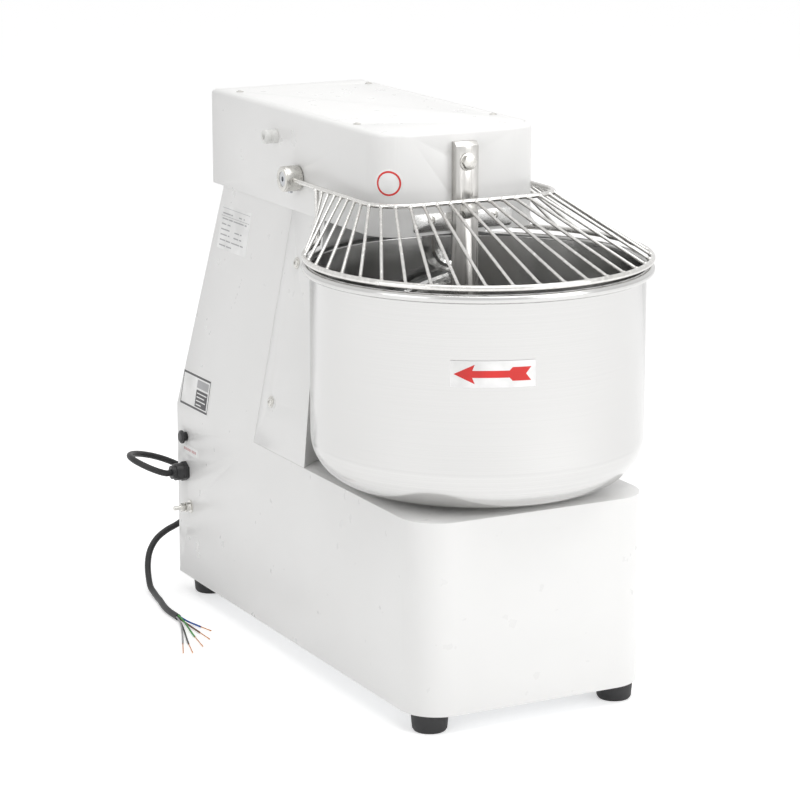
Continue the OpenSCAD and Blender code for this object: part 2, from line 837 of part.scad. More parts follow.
module lay_pulley() {
    color("dimgray") translate([0, lay_y, belt_z]) web_pulley(lay_pulley_d);
}

module lay_small_pulleys() {
    color("dimgray") {
        translate([0, lay_y, spiral_belt_z]) pulley(even_pulley_d, shaft_d / 2);
        translate([0, lay_y, jack_belt_z]) pulley(small_pulley_d, shaft_d / 2);
    }
}

// Bearing pedestal: a foot plate, a drum and its bearing ring
module pedestal(z0, drum_z) {
    translate([0, 0, z0]) difference() {
        union() {
            translate([-45, -32, 0]) cube([90, 64, 6]);
            cylinder(r = 30, h = drum_z);
        }
        translate([0, 0, 6]) cylinder(r = shaft_d / 2 + run, h = drum_z);
        translate([0, 0, drum_z - 4]) cylinder(r = shaft_d / 2 + 5, h = 5);
    }
}

module lay_blocks() {
    color("gray") {
        translate([0, lay_y, 0]) pedestal(floor_z + floor_t, 34);
        translate([0, lay_y, head_z + 0.1 + head_floor_t]) difference() {
            union() {
                translate([-50, -35, 0]) cube([100, 70, 6]);
                cylinder(r = 30, h = 26);
            }
            translate([0, 0, -1]) cylinder(r = shaft_d / 2 + run, h = 30);
        }
    }
}

jack_low = floor_z + floor_t + 12;
jack_high = bowl_belt_z + pulley_w / 2 + 5;

module jack_shaft() {
    color("silver") translate([jack_xy[0], jack_xy[1], jack_low])
        cylinder(r = shaft_d / 2, h = jack_high - jack_low);
}

module jack_pulleys() {
    color("dimgray") translate([jack_xy[0], jack_xy[1], 0]) {
        translate([0, 0, jack_belt_z]) web_pulley(large_pulley_d);
        translate([0, 0, bowl_belt_z]) pulley(small_pulley_d, shaft_d / 2);
    }
}

module jack_block() {
    color("gray") translate([jack_xy[0], jack_xy[1], 0])
        pedestal(floor_z + floor_t, jack_belt_z - floor_z - floor_t - 12);
}

motor_h = 210;
stand_t = 6;

module motor() {
    color("slategray") translate([0, motor_y, motor_low + stand_t]) difference() {
        union() {
            cylinder(r = motor_d / 2, h = 12);
            translate([0, 0, 11]) cylinder(r = motor_d / 2 - 6, h = motor_h - 42);
            for (i = [0:23]) rotate(i * 15)
                translate([motor_d / 2 - 8, -1.5, 18]) cube([8, 3, motor_h - 60]);
            translate([0, 0, motor_h - 32]) cylinder(r = motor_d / 2 - 3, h = 32);
            translate([motor_d / 2 - 20, -30, 60]) cube([32, 60, 60]);
        }
        translate([0, 0, -1]) cylinder(r = motor_shaft_r + run, h = 40);
    }
}

motor_shaft_r = 9.5;

module motor_shaft() {
    low = belt_z - 13;
    color("silver") translate([0, motor_y, low])
        cylinder(r = motor_shaft_r, h = motor_low + stand_t + 36 - low);
}

module motor_pulley() {
    color("dimgray") translate([0, motor_y, belt_z]) pulley(motor_pulley_d, motor_shaft_r);
}

// Welded stand that carries the motor's flange
module motor_stand() {
    post = 12;
    x = motor_d / 2 + 13;
    y = motor_d / 2 - 5;
    color("gray") translate([0, motor_y, 0]) {
        difference() {
            translate([-x, -y, motor_low]) cube([2 * x, 2 * y, stand_t]);
            translate([0, 0, motor_low - 20]) cylinder(r = 20, h = 40);
        }
        for (sx = [-1, 1], sy = [-1, 1])
            translate([sx * (x - post / 2) - post / 2, sy * (y - post / 2) - post / 2, floor_z + floor_t])
                cube([post, post, motor_low - floor_z - floor_t + 1]);
    }
}

module motor_belt() {
    color([0.1, 0.1, 0.1]) translate([0, 0, belt_z]) belt(motor_xy, motor_pulley_d, lay_xy, lay_pulley_d);
}

module spiral_belt() {
    color([0.1, 0.1, 0.1]) translate([0, 0, spiral_belt_z])
        belt(hook_xy, even_pulley_d, lay_xy, even_pulley_d);
}

module jack_belt() {
    color([0.1, 0.1, 0.1]) translate([0, 0, jack_belt_z])
        belt(lay_xy, small_pulley_d, jack_xy, large_pulley_d);
}

module bowl_belt() {
    color([0.1, 0.1, 0.1]) translate([0, 0, bowl_belt_z])
        belt(jack_xy, small_pulley_d, bowl_xy, large_pulley_d);
}

// Box with the contactor and terminals, on the inside of the right wall
module switch_box() {
    w = min(38, half_w - sheet - 18 - motor_d / 2 - 15);
    color("lightgray") difference() {
        translate([half_w - sheet - w - 18, plate_y - 8, plate_z0 - 8]) cube([w, plate_w + 16, plate_h + 16]);
        translate([half_w - sheet - w - 16, plate_y - 6, plate_z0 - 6]) cube([w + 5, plate_w + 12, plate_h + 12]);
    }
    color("black") {
        translate([half_w - sheet - w - 17, plate_y + 4, plate_z0 + 4]) cube([22, 30, 40]);
        translate([half_w - sheet - w - 17, plate_y + 42, plate_z0 + 4]) cube([16, 26, 60]);
    }
    color("silver") for (y = [plate_y - 7, plate_y + plate_w + 1], z = [plate_z0 - 7, plate_z0 + plate_h + 1])
        translate([half_w - sheet - 19, y, z]) cube([19, 6, 6]);
}

// ---- guard ----

arm_x = head_half + arm_gap;
arm_front_y = head_front_y - front_gap;
frame_r = frame_rod_d / 2;
ring_rod_r = ring_rod_d / 2;
ring_r = rim_r - ring_rod_r;
arm_start_y = pivot_y - 79;
arm_side = arm_start_y - arm_front_y - arm_bend;
arm_arc = PI / 2 * arm_bend;
arm_front = 2 * (arm_x - arm_bend);
arm_total = 2 * arm_side + 2 * arm_arc + arm_front;

// Point of the upper rod at a distance along it, from its left end round to its right one
function arm_half_point(s) =
    s < arm_side ? [-arm_x, arm_start_y - s, pivot_z]
    : s < arm_side + arm_arc
        ? let (a = 180 + (s - arm_side) / arm_bend * 180 / PI)
            [-arm_x + arm_bend + arm_bend * cos(a), arm_front_y + arm_bend + arm_bend * sin(a), pivot_z]
        : [-arm_x + arm_bend + s - arm_side - arm_arc, arm_front_y, pivot_z];
function arm_point(s) = s <= arm_total / 2 ? arm_half_point(s)
    : let (p = arm_half_point(arm_total - s)) [-p[0], p[1], p[2]];
ring_sweep = 180 + 2 * ring_past;
function ring_point(t) =
    let (a = 180 - ring_past + t * ring_sweep)
    [ring_r * cos(a), bowl_y + ring_r * sin(a), ring_z];

module guard_frame() {
    color("gainsboro") {
        for (s = [-1, 1]) {
            rod([s * arm_x, pivot_y - boss_d / 2 + 4, pivot_z],
                [s * arm_x, arm_front_y + arm_bend, pivot_z], frame_r);
            translate([s * (arm_x - arm_bend), arm_front_y + arm_bend, pivot_z])
                rotate(s < 0 ? 180 : 270) rotate_extrude(angle = 90)
                    translate([arm_bend, 0]) circle(r = frame_r, $fn = 24);
        }
        rod([-arm_x + arm_bend, arm_front_y, pivot_z], [arm_x - arm_bend, arm_front_y, pivot_z], frame_r);
        translate([0, bowl_y, ring_z]) rotate(180 - ring_past)
            rotate_extrude(angle = ring_sweep, $fn = 96)
                translate([ring_r, 0]) circle(r = ring_rod_r, $fn = 24);
        for (t = [0, 1]) rod(arm_point(t * arm_total), ring_point(t), frame_r);
    }
}

module guard_wires() {
    color("gainsboro") for (i = [1:wires]) {
        t = i / (wires + 1);
        rod(arm_point(t * arm_total), ring_point(t), wire_d / 2);
    }
}

pin_r = 6;
boss_off = 0.4;

module guard_bosses() {
    color("silver") both_sides() translate([-head_half - boss_off - boss_l, pivot_y, pivot_z]) difference() {
        union() {
            translate([1.5, 0, 0]) x_cylinder(boss_d / 2, boss_l - 3);
            x_cylinder(boss_d / 2 - 1.5, boss_l);
        }
        translate([-1, 0, 0]) x_cylinder(pin_r, boss_l + 2);
        translate([-1, 0, 0]) x_cylinder(pin_r + 3.5, 6);
        translate([boss_l + boss_off - arm_gap, -boss_d / 2 - 1, 0])
            rotate([-90, 0, 0]) cylinder(r = frame_r + 0.02, h = 5.02);
    }
}

// Pivot pins with socket heads and set screws; the left one carries the switch cam
module guard_pins() {
    inner = 34;
    color("gray") both_sides() translate([-head_half - boss_off - boss_l, pivot_y, pivot_z]) {
        difference() {
            translate([1, 0, 0]) x_cylinder(pin_r + 3.4, 4);
            x_cylinder(3.4, 4, $fn = 6);
        }
        translate([4.5, 0, 0]) x_cylinder(pin_r, boss_l + inner - 4.5);
        translate([boss_l / 2, 0, -boss_d / 2 - 2]) cylinder(r = 3, h = boss_d / 2 - pin_r + 2);
    }
    color("gray") translate([-head_half + inner - 12, pivot_y, pivot_z]) {
        x_cylinder(12, 8);
        translate([0, -4, 0]) cube([8, 8, 17]);
    }
}

module guard_bushes() {
    color("goldenrod") both_sides() translate([-head_half, pivot_y, pivot_z]) rotate([0, 90, 0]) {
        ring(bush_r, pin_r + run, 8);
        translate([0, 0, sheet]) ring(bush_r + 5, pin_r + run, 4);
    }
}

module guard_switch() {
    color("black") {
        translate([-head_half + sheet, pivot_y - 20, pivot_z + 22]) cube([42, 40, 26]);
        translate([-head_half + 26, pivot_y, pivot_z + 17.6]) cylinder(r = 4, h = 5);
    }
}

// ---- controls and cable entry ----

gland_r = 10;
gland_out = 22;
stud_r = 3;
cap_t = 3;

module reset_button() {
    color([0.1, 0.1, 0.1]) translate([-half_w, reset_at[0], reset_at[1]]) {
        translate([-press - 4, 0, 0]) {
            x_cylinder(9, 3);
            translate([-1.5, 0, 0]) x_cylinder(7, 2);
        }
        translate([-press - 2, 0, 0]) x_cylinder(button_stem_r, 20);
    }
}

module cable_gland() {
    color([0.1, 0.1, 0.1]) translate([-half_w, gland_at[0], gland_at[1]]) difference() {
        union() {
            translate([-7, 0, 0]) x_cylinder(13.5, 7, $fn = 6);
            translate([-gland_out + 5, 0, 0]) x_cylinder(11.5, gland_out - 11);
            translate([-gland_out, 0, 0]) x_cylinder(9, 6);
            translate([-1, 0, 0]) x_cylinder(gland_r, 14);
            translate([sheet, 0, 0]) x_cylinder(13.5, 5, $fn = 6);
        }
        translate([-gland_out - 1, 0, 0]) x_cylinder(cord_d / 2, 7);
    }
}

module earth_stud() {
    color("silver") translate([-half_w, stud_at[0], stud_at[1]]) {
        translate([-24, 0, 0]) x_cylinder(stud_r, 34);
        translate([-1, 0, 0]) x_cylinder(9, 1);
        translate([-6, 0, 0]) x_cylinder(5.8, 5, $fn = 6);
        translate([-8, 0, 0]) x_cylinder(7, 1.2);
        translate([-14, 0, 0]) x_cylinder(5.8, 5, $fn = 6);
        translate([sheet, 0, 0]) x_cylinder(5.8, 5, $fn = 6);
    }
}

module control_plate() {
    color("silver") translate([half_w, plate_y, plate_z0]) difference() {
        cube([cap_t, plate_w, plate_h]);
        for (p = [start_at, stop_at, timer_at])
            translate([-1, p[0] - plate_y, p[1] - plate_z0]) x_cylinder(button_stem_r + clear, cap_t + 2);
    }
}

module start_button() {
    color("green") translate([half_w + cap_t, start_at[0], start_at[1]]) {
        translate([press + 0.5, 0, 0]) x_cylinder(start_d / 2, 4);
        translate([-15, 0, 0]) x_cylinder(button_stem_r, press + 18);
    }
}

module stop_button() {
    color("red") translate([half_w + cap_t, stop_at[0], stop_at[1]]) {
        translate([press + 4, 0, 0]) x_cylinder(stop_d / 2, 6);
        translate([press + 0.5, 0, 0]) x_cylinder(stop_d / 2 - 5, 4);
        translate([press + 9, 0, 0]) x_cylinder(stop_d / 2 - 3, 3);
        translate([-15, 0, 0]) x_cylinder(button_stem_r, press + 18);
    }
}

module timer_knob() {
    color([0.1, 0.1, 0.1]) translate([half_w + cap_t, timer_at[0], timer_at[1]]) {
        translate([clear, 0, 0]) x_cylinder(timer_d / 2, 5);
        translate([4, 0, 0]) x_cylinder(timer_d / 2 - 4, 14);
        translate([4, -3, 0]) cube([15, 6, timer_d / 2 - 1]);
        translate([-15, 0, 0]) x_cylinder(button_stem_r, 18);
    }
}

// Blank plates: width and height of the ones on the left side, and the badge on the head's corner
data_size = [90, 58];
sign_size = [90, 48];
strip_size = [50, 12];
data_at = [back_y - 149, 223];
sign_at = [back_y - 99, 2];
strip_at = [back_y - 67, 196];
badge_r = 17;

module blank_labels() {
    t = label_t;
    color("ivory") {
        on_side(-t) translate([0, 0, 0]) linear_extrude(t) {
            translate(data_at) square(data_size);
            translate(sign_at) square(sign_size);
        }
        translate([-half_w - t, strip_at[0], strip_at[1]]) cube([t, strip_size[0], strip_size[1]]);
        translate([-head_half + head_corner_r, head_front_y + head_corner_r, head_z + 65])
            rotate([0, 0, 180]) intersection() {
                difference() {
                    translate([0, 0, -20]) cylinder(r = head_corner_r + t, h = 40, $fn = 96);
                    translate([0, 0, -21]) cylinder(r = head_corner_r, h = 42, $fn = 96);
                }
                rotate([0, 90, 52.5]) cylinder(r = badge_r, h = 60);
            }
    }
}

// ---- supply cord ----

// The route runs from the gland, behind the cabinet, down to the floor and forward
cord_end = [-222, 240, 4.6];
cord_route = concat(
    [[-half_w - gland_out + 6, gland_at[0], gland_at[1]],
    [-half_w - gland_out, gland_at[0], gland_at[1]],
    [-half_w - gland_out - cord_d, gland_at[0], gland_at[1]]],
    [[-205, 355, 177], [-217, 366, 183], [-223, 382, 187], [-221, 399, 188],
    [-211, 414, 186], [-195, 424, 182], [-175, 428, 176], [-155, 428, 168],
    [-136, 428, 158], [-120, 428, 147], [-109, 428, 132], [-106, 428, 115],
    [-111, 428, 99], [-123, 428, 86], [-140, 427, 76], [-159, 425, 69],
    [-176, 420, 60], [-189, 412, 47], [-197, 401, 32], [-202, 387, 18],
    [-206, 371, 9], [-208, 354, 5.6], [-211, 336, 4.6], [-214, 318, 4.6],
    [-218, 300, 4.6], [-221, 282, 4.6], [-222, 265, 4.6]],
    [cord_end + [0, cord_d, 0], cord_end]
);

module supply_cord() {
    color([0.08, 0.08, 0.08]) tube(cord_route, cord_d / 2, 10, [0, 0, 1]);
}

core_r = 1.2;
core_ring = 2.5;
tip_r = 0.9;
core_z = 2.2;
// Places round the jacket's middle that the cores leave from
core_order = [1, 2, 0, 3, 4];
// End of each core's insulation, and of its bare wire
core_ends = [[-209, 196], [-220, 174], [-233, 161], [-252, 137], [-258, 142]];
tip_ends = [[-204, 174], [-220, 142], [-240, 119], [-262, 101], [-273, 106]];
function on_floor(p) = [p[0], p[1], core_z];
function tip_way(i) = unit(on_floor(tip_ends[i]) - on_floor(core_ends[i]));
function core_route(i) =
    let (turn = 90 - 72 * core_order[i],
        root = cord_end + [core_ring * cos(turn), -0.3, core_ring * sin(turn)],
        out = on_floor(core_ends[i]))
    [for (t = [0:0.125:1]) bezier(root, root + [0, -20, 0], out - 28 * tip_way(i), out, t)];

module cord_cores() {
    color("brown") for (i = [0:4]) tube(core_route(i), core_r, 8, [0, 0, 1]);
}

module core_tips() {
    color("orange") for (i = [0:4]) rod(on_floor(core_ends[i]), on_floor(tip_ends[i]), tip_r);
}

cabinet();
base_floor();
rubber_feet();
front_cover();
rear_cover();
rear_screws();
side_screws();
head_shell();
head_lid();
lid_screws();
head_floor();
splash_plate();
splash_screws();
breaker_bar();
bar_bolts();
stop_peg();
bowl();
bowl_shaft();
bowl_pulley();
bowl_housing();
bowl_bearings();
arrow_label();
spiral_hook();
spiral_shaft();
spiral_pulley();
spiral_housing();
spiral_bearings();
lay_shaft();
lay_pulley();
lay_small_pulleys();
lay_blocks();
jack_shaft();
jack_pulleys();
jack_block();
motor();
motor_shaft();
motor_pulley();
motor_stand();
motor_belt();
spiral_belt();
jack_belt();
bowl_belt();
switch_box();
guard_frame();
guard_wires();
guard_bosses();
guard_pins();
guard_bushes();
guard_switch();
reset_button();
cable_gland();
earth_stud();
start_button();
stop_button();
timer_knob();
control_plate();
blank_labels();
supply_cord();
cord_cores();
core_tips();
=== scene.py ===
import json
import math
import bpy
import bmesh
from mathutils import Matrix, Vector

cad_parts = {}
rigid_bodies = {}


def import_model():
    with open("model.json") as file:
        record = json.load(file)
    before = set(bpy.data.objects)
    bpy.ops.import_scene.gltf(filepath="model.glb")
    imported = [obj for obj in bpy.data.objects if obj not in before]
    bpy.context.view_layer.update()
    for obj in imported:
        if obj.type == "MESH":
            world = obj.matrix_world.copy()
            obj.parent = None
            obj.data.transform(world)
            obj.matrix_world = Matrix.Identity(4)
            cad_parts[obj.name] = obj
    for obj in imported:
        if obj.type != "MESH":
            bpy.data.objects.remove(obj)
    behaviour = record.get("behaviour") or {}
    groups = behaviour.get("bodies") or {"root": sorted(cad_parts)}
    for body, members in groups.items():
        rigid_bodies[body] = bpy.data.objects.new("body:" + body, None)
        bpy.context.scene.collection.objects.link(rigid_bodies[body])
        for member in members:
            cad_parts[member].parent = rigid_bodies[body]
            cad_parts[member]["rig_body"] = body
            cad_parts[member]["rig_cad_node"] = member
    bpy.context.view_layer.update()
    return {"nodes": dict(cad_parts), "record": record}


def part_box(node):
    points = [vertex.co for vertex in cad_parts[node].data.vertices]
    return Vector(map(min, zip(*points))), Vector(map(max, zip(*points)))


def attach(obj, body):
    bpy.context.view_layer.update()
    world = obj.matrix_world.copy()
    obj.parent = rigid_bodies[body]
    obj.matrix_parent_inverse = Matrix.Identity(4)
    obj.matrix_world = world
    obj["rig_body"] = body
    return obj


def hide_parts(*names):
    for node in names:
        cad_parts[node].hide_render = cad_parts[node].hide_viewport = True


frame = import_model()
nodes = frame["nodes"]
scene = bpy.context.scene
MM = 0.001
body_of = {}
for body_name, members in frame["record"]["behaviour"]["bodies"].items():
    for member in members:
        body_of[member] = body_name

# ---------------------------------------------------------------- camera

camera_data = bpy.data.cameras.new("studio_camera")
camera_data.lens = 133.5
camera_data.sensor_width = 36
camera = bpy.data.objects.new("studio_camera", camera_data)
scene.collection.objects.link(camera)
camera.location = (-1.6912, -3.2100, 1.1830)
aim = Vector((0.0022, 0.0379, 0.3168))
camera.rotation_euler = (aim - camera.location).to_track_quat("-Z", "Y").to_euler()
scene.camera = camera


# ---------------------------------------------------------------- materials

def new_material(name, colour, roughness, metal=0.0):
    """A principled material whose even values are set on the shader."""
    made = bpy.data.materials.new(name)
    made.use_nodes = True
    shader = made.node_tree.nodes["Principled BSDF"]
    shader.inputs["Base Color"].default_value = (*colour, 1)
    shader.inputs["Roughness"].default_value = roughness
    shader.inputs["Metallic"].default_value = metal
    made.diffuse_color = (*colour, 1)
    return made, made.node_tree, shader


def object_noise(tree, scale, detail=2.0, stretch=(1, 1, 1), rough=0.5):
    """Noise on the object's own coordinates, stretched along the axes."""
    place = tree.nodes.new("ShaderNodeTexCoord")
    mapping = tree.nodes.new("ShaderNodeMapping")
    mapping.inputs["Scale"].default_value = stretch
    noise = tree.nodes.new("ShaderNodeTexNoise")
    noise.inputs["Scale"].default_value = scale
    noise.inputs["Detail"].default_value = detail
    noise.inputs["Roughness"].default_value = rough
    tree.links.new(place.outputs["Object"], mapping.inputs["Vector"])
    tree.links.new(mapping.outputs["Vector"], noise.inputs["Vector"])
    return noise.outputs["Fac"]


def ramp(tree, fac, low, high, start=0.3, end=0.7):
    """Turns noise into a colour or a grey value between two limits."""
    made = tree.nodes.new("ShaderNodeValToRGB")
    made.color_ramp.elements[0].position = start
    made.color_ramp.elements[0].color = (*low, 1)
    made.color_ramp.elements[1].position = end
    made.color_ramp.elements[1].color = (*high, 1)
    tree.links.new(fac, made.inputs["Fac"])
    return made.outputs["Color"]


def level(tree, fac, low, high):
    """Turns noise into a number between two limits."""
    made = tree.nodes.new("ShaderNodeMapRange")
    made.inputs["From Min"].default_value = 0.3
    made.inputs["From Max"].default_value = 0.7
    made.inputs["To Min"].default_value = low
    made.inputs["To Max"].default_value = high
    tree.links.new(fac, made.inputs["Value"])
    return made.outputs["Result"]


def bump(tree, shader, height, strength, distance):
    made = tree.nodes.new("ShaderNodeBump")
    made.inputs["Strength"].default_value = strength
    made.inputs["Distance"].default_value = distance
    tree.links.new(height, made.inputs["Height"])
    tree.links.new(made.outputs["Normal"], shader.inputs["Normal"])


def shade_of(colour, factor):
    return tuple(min(1.0, c * factor) for c in colour)


def powder_coat(name, colour):
    """Baked powder coat: fine orange peel and a faint change of tone."""
    made, tree, shader = new_material(name, colour, 0.32)
    tone = object_noise(tree, 7, 3)
    tint = ramp(tree, tone, shade_of(colour, 0.985), shade_of(colour, 1.01))
    tree.links.new(tint, shader.inputs["Base Color"])
    wear = object_noise(tree, 40, 4)
    tree.links.new(level(tree, wear, 0.27, 0.37), shader.inputs["Roughness"])
    bump(tree, shader, object_noise(tree, 900, 1), 0.02, 0.00005)
    return made


def worked_steel(name, colour, rough, stretch, grain=600, strength=0.12, spread=0.08, tone=0.08):
    """Steel with a grain that runs one way: stretch is small along the grain."""
    made, tree, shader = new_material(name, colour, rough, 1.0)
    streaks = object_noise(tree, grain, 3, stretch, 0.6)
    dark = shade_of(colour, 1 - tone)
    tree.links.new(ramp(tree, streaks, dark, shade_of(colour, 1 + tone * 0.5)), shader.inputs["Base Color"])
    tree.links.new(level(tree, streaks, rough - spread / 2, rough + spread / 2), shader.inputs["Roughness"])
    bump(tree, shader, streaks, strength, 0.0001)
    return made


def turned_steel(name, colour, rough, centre, ring_scale=900, strength=0.1, spread=0.08):
    """Steel polished while it turned, so its fine lines run round the axis at the centre."""
    made, tree, shader = new_material(name, colour, rough, 1.0)
    place = tree.nodes.new("ShaderNodeTexCoord")
    shift = tree.nodes.new("ShaderNodeVectorMath")
    shift.operation = "SUBTRACT"
    shift.inputs[1].default_value = centre
    split = tree.nodes.new("ShaderNodeSeparateXYZ")
    across = tree.nodes.new("ShaderNodeVectorMath")
    across.operation = "MULTIPLY"
    across.inputs[1].default_value = (1, 1, 0)
    length = tree.nodes.new("ShaderNodeVectorMath")
    length.operation = "LENGTH"
    join = tree.nodes.new("ShaderNodeCombineXYZ")
    noise = tree.nodes.new("ShaderNodeTexNoise")
    noise.inputs["Scale"].default_value = ring_scale
    noise.inputs["Detail"].default_value = 3
    tree.links.new(place.outputs["Object"], shift.inputs[0])
    tree.links.new(shift.outputs["Vector"], split.inputs["Vector"])
    tree.links.new(shift.outputs["Vector"], across.inputs[0])
    tree.links.new(across.outputs["Vector"], length.inputs[0])
    tree.links.new(length.outputs["Value"], join.inputs["X"])
    tree.links.new(split.outputs["Z"], join.inputs["Z"])
    tree.links.new(join.outputs["Vector"], noise.inputs["Vector"])
    rings = noise.outputs["Fac"]
    smear = object_noise(tree, 9, 4)
    tint = ramp(tree, rings, shade_of(colour, 0.94), shade_of(colour, 1.03))
    tree.links.new(tint, shader.inputs["Base Color"])
    mixed = tree.nodes.new("ShaderNodeMath")
    mixed.operation = "MULTIPLY_ADD"
    mixed.inputs[1].default_value = 0.12
    tree.links.new(smear, mixed.inputs[0])
    tree.links.new(level(tree, rings, rough - spread / 2 - 0.06, rough + spread / 2 - 0.06), mixed.inputs[2])
    tree.links.new(mixed.outputs["Value"], shader.inputs["Roughness"])
    bump(tree, shader, rings, strength, 0.00006)
    return made


def plated_steel(name, colour, rough):
    """Bright plating with soft cloudy changes."""
    made, tree, shader = new_material(name, colour, rough, 1.0)
    cloud = object_noise(tree, 160, 4)
    tint = ramp(tree, cloud, shade_of(colour, 0.88), shade_of(colour, 1.05))
    tree.links.new(tint, shader.inputs["Base Color"])
    tree.links.new(level(tree, cloud, rough - 0.05, rough + 0.07), shader.inputs["Roughness"])
    bump(tree, shader, object_noise(tree, 900, 2), 0.05, 0.00005)
    return made


def moulded(name, colour, rough, grain=700, strength=0.08):
    """Moulded plastic or rubber with a fine grain."""
    made, tree, shader = new_material(name, colour, rough)
    cloud = object_noise(tree, 30, 3)
    low = tuple(c * 0.85 for c in colour)
    tree.links.new(ramp(tree, cloud, low, shade_of(colour, 1.08)), shader.inputs["Base Color"])
    tree.links.new(level(tree, cloud, rough - 0.05, rough + 0.06), shader.inputs["Roughness"])
    bump(tree, shader, object_noise(tree, grain, 2), strength, 0.0002)
    return made


def cast_metal(name, colour, rough, metal=0.0):
    """Painted or bare casting with a sandy skin."""
    made, tree, shader = new_material(name, colour, rough, metal)
    skin = object_noise(tree, 260, 5, rough=0.65)
    tint = ramp(tree, skin, shade_of(colour, 0.78), shade_of(colour, 1.12))
    tree.links.new(tint, shader.inputs["Base Color"])
    tree.links.new(level(tree, skin, rough - 0.08, rough + 0.1), shader.inputs["Roughness"])
    bump(tree, shader, skin, 0.35, 0.0004)
    return made


bowl_low, bowl_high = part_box("bowl")
bowl_axis = ((bowl_low + bowl_high) / 2).xy
coat = powder_coat("white_powder_coat", (0.875, 0.872, 0.862))
coat_head = powder_coat("white_powder_coat_head", (0.885, 0.882, 0.872))
bowl_steel = turned_steel("spun_bowl_steel", (0.60, 0.597, 0.59), 0.22, (bowl_axis.x, bowl_axis.y, 0))
wire_steel = plated_steel("guard_wire_steel", (0.70, 0.69, 0.67), 0.22)
bar_steel = worked_steel("brushed_bar_steel", (0.60, 0.59, 0.57), 0.3, (1, 1, 0.03), 700, 0.2)
plate_steel = worked_steel("brushed_plate_steel", (0.66, 0.66, 0.65), 0.26, (0.03, 1, 1), 700, 0.15)
hook_steel = plated_steel("polished_spiral_steel", (0.68, 0.68, 0.67), 0.16)
zinc = plated_steel("zinc_plating", (0.66, 0.65, 0.62), 0.28)
zinc_sheet = plated_steel("zinc_sheet", (0.55, 0.56, 0.57), 0.42)
ground_steel = worked_steel("ground_shaft_steel", (0.55, 0.56, 0.58), 0.22, (1, 1, 0.05))
casting = cast_metal("grey_casting", (0.22, 0.235, 0.25), 0.55)
motor_paint = cast_metal("motor_paint", (0.20, 0.27, 0.32), 0.45)
bronze = cast_metal("sintered_bronze", (0.55, 0.36, 0.16), 0.4, 1.0)
black_rubber = moulded("black_rubber", (0.022, 0.022, 0.023), 0.62, 500, 0.18)
cord_jacket = moulded("cord_jacket", (0.018, 0.018, 0.019), 0.48, 1400, 0.06)
belt_rubber = moulded("belt_rubber", (0.03, 0.03, 0.032), 0.75, 1200, 0.25)
black_plastic = moulded("black_plastic", (0.02, 0.02, 0.021), 0.38, 900)
grey_plastic = moulded("grey_plastic", (0.42, 0.43, 0.44), 0.45, 900)
white_nylon = moulded("white_nylon", (0.80, 0.80, 0.78), 0.4, 600, 0.05)
green_plastic = moulded("green_plastic", (0.02, 0.30, 0.07), 0.28, 900, 0.03)
red_plastic = moulded("red_plastic", (0.60, 0.018, 0.014), 0.28, 900, 0.03)
white_film = moulded("white_label_film", (0.93, 0.93, 0.92), 0.34, 800, 0.01)
red_ink = moulded("red_label_ink", (0.72, 0.035, 0.03), 0.36, 800, 0.02)
dark_ink = moulded("dark_label_ink", (0.06, 0.06, 0.065), 0.4, 800, 0.02)
faded_red_ink = moulded("faded_red_label_ink", (0.66, 0.40, 0.40), 0.36, 800, 0.02)
grey_ink = moulded("grey_label_ink", (0.45, 0.45, 0.46), 0.4, 800, 0.02)
copper = plated_steel("bare_copper", (0.72, 0.38, 0.2), 0.34)

finishes = {
    "cabinet": coat, "front_cover": coat, "rear_cover": coat, "head_shell": coat_head, "head_lid": coat_head,
    "base_floor": zinc_sheet, "head_floor": zinc_sheet, "motor_stand": zinc_sheet,
    "rubber_feet": black_rubber, "motor_belt": belt_rubber, "rear_screws": zinc, "side_screws": zinc,
    "lid_screws": zinc, "bar_bolts": zinc, "earth_stud": zinc, "splash_screws": zinc,
    "splash_plate": plate_steel, "breaker_bar": bar_steel, "guard_frame": wire_steel,
    "guard_wires": wire_steel, "guard_bosses": zinc, "guard_pins": ground_steel,
    "stop_peg": white_nylon, "bowl_shaft": ground_steel, "spiral_shaft": ground_steel,
    "lay_shaft": ground_steel, "jack_shaft": ground_steel, "motor_shaft": ground_steel,
    "bowl_bearings": ground_steel, "spiral_bearings": ground_steel, "bowl_pulley": casting,
    "spiral_pulley": casting, "lay_small_pulleys": casting, "jack_pulleys": casting,
    "spiral_belt": belt_rubber, "jack_belt": belt_rubber, "bowl_belt": belt_rubber,
    "bowl_housing": casting, "spiral_housing": casting, "lay_blocks": casting, "jack_block": casting,
    "lay_pulley": casting, "motor_pulley": casting, "motor": motor_paint, "guard_bushes": bronze,
    "guard_switch": black_plastic, "cable_gland": black_plastic, "reset_button": black_plastic,
    "timer_knob": black_plastic, "switch_box": grey_plastic, "start_button": green_plastic,
    "stop_button": red_plastic, "control_plate": plate_steel, "arrow_label": white_film,
    "blank_labels": white_film, "bowl": bowl_steel, "spiral_hook": hook_steel,
    "supply_cord": cord_jacket, "cord_cores": grey_plastic, "core_tips": copper,
}


def coat_with(piece, material):
    piece.data.materials.clear()
    piece.data.materials.append(material)


for node_name, material in finishes.items():
    coat_with(nodes[node_name], material)


# ---------------------------------------------------------------- ways of making pieces

def only(piece):
    """Selects one piece and makes it the active one."""
    bpy.ops.object.select_all(action="DESELECT")
    piece.select_set(True)
    bpy.context.view_layer.objects.active = piece


def settle(piece):
    """Puts the piece's place and turn into its mesh."""
    only(piece)
    bpy.ops.object.transform_apply(location=True, rotation=True, scale=True)


def finish_with(piece, kind, **settings):
    """Adds a modifier and applies it at once."""
    only(piece)
    added = piece.modifiers.new(kind.lower(), kind)
    for key, value in settings.items():
        setattr(added, key, value)
    bpy.ops.object.modifier_apply(modifier=added.name)


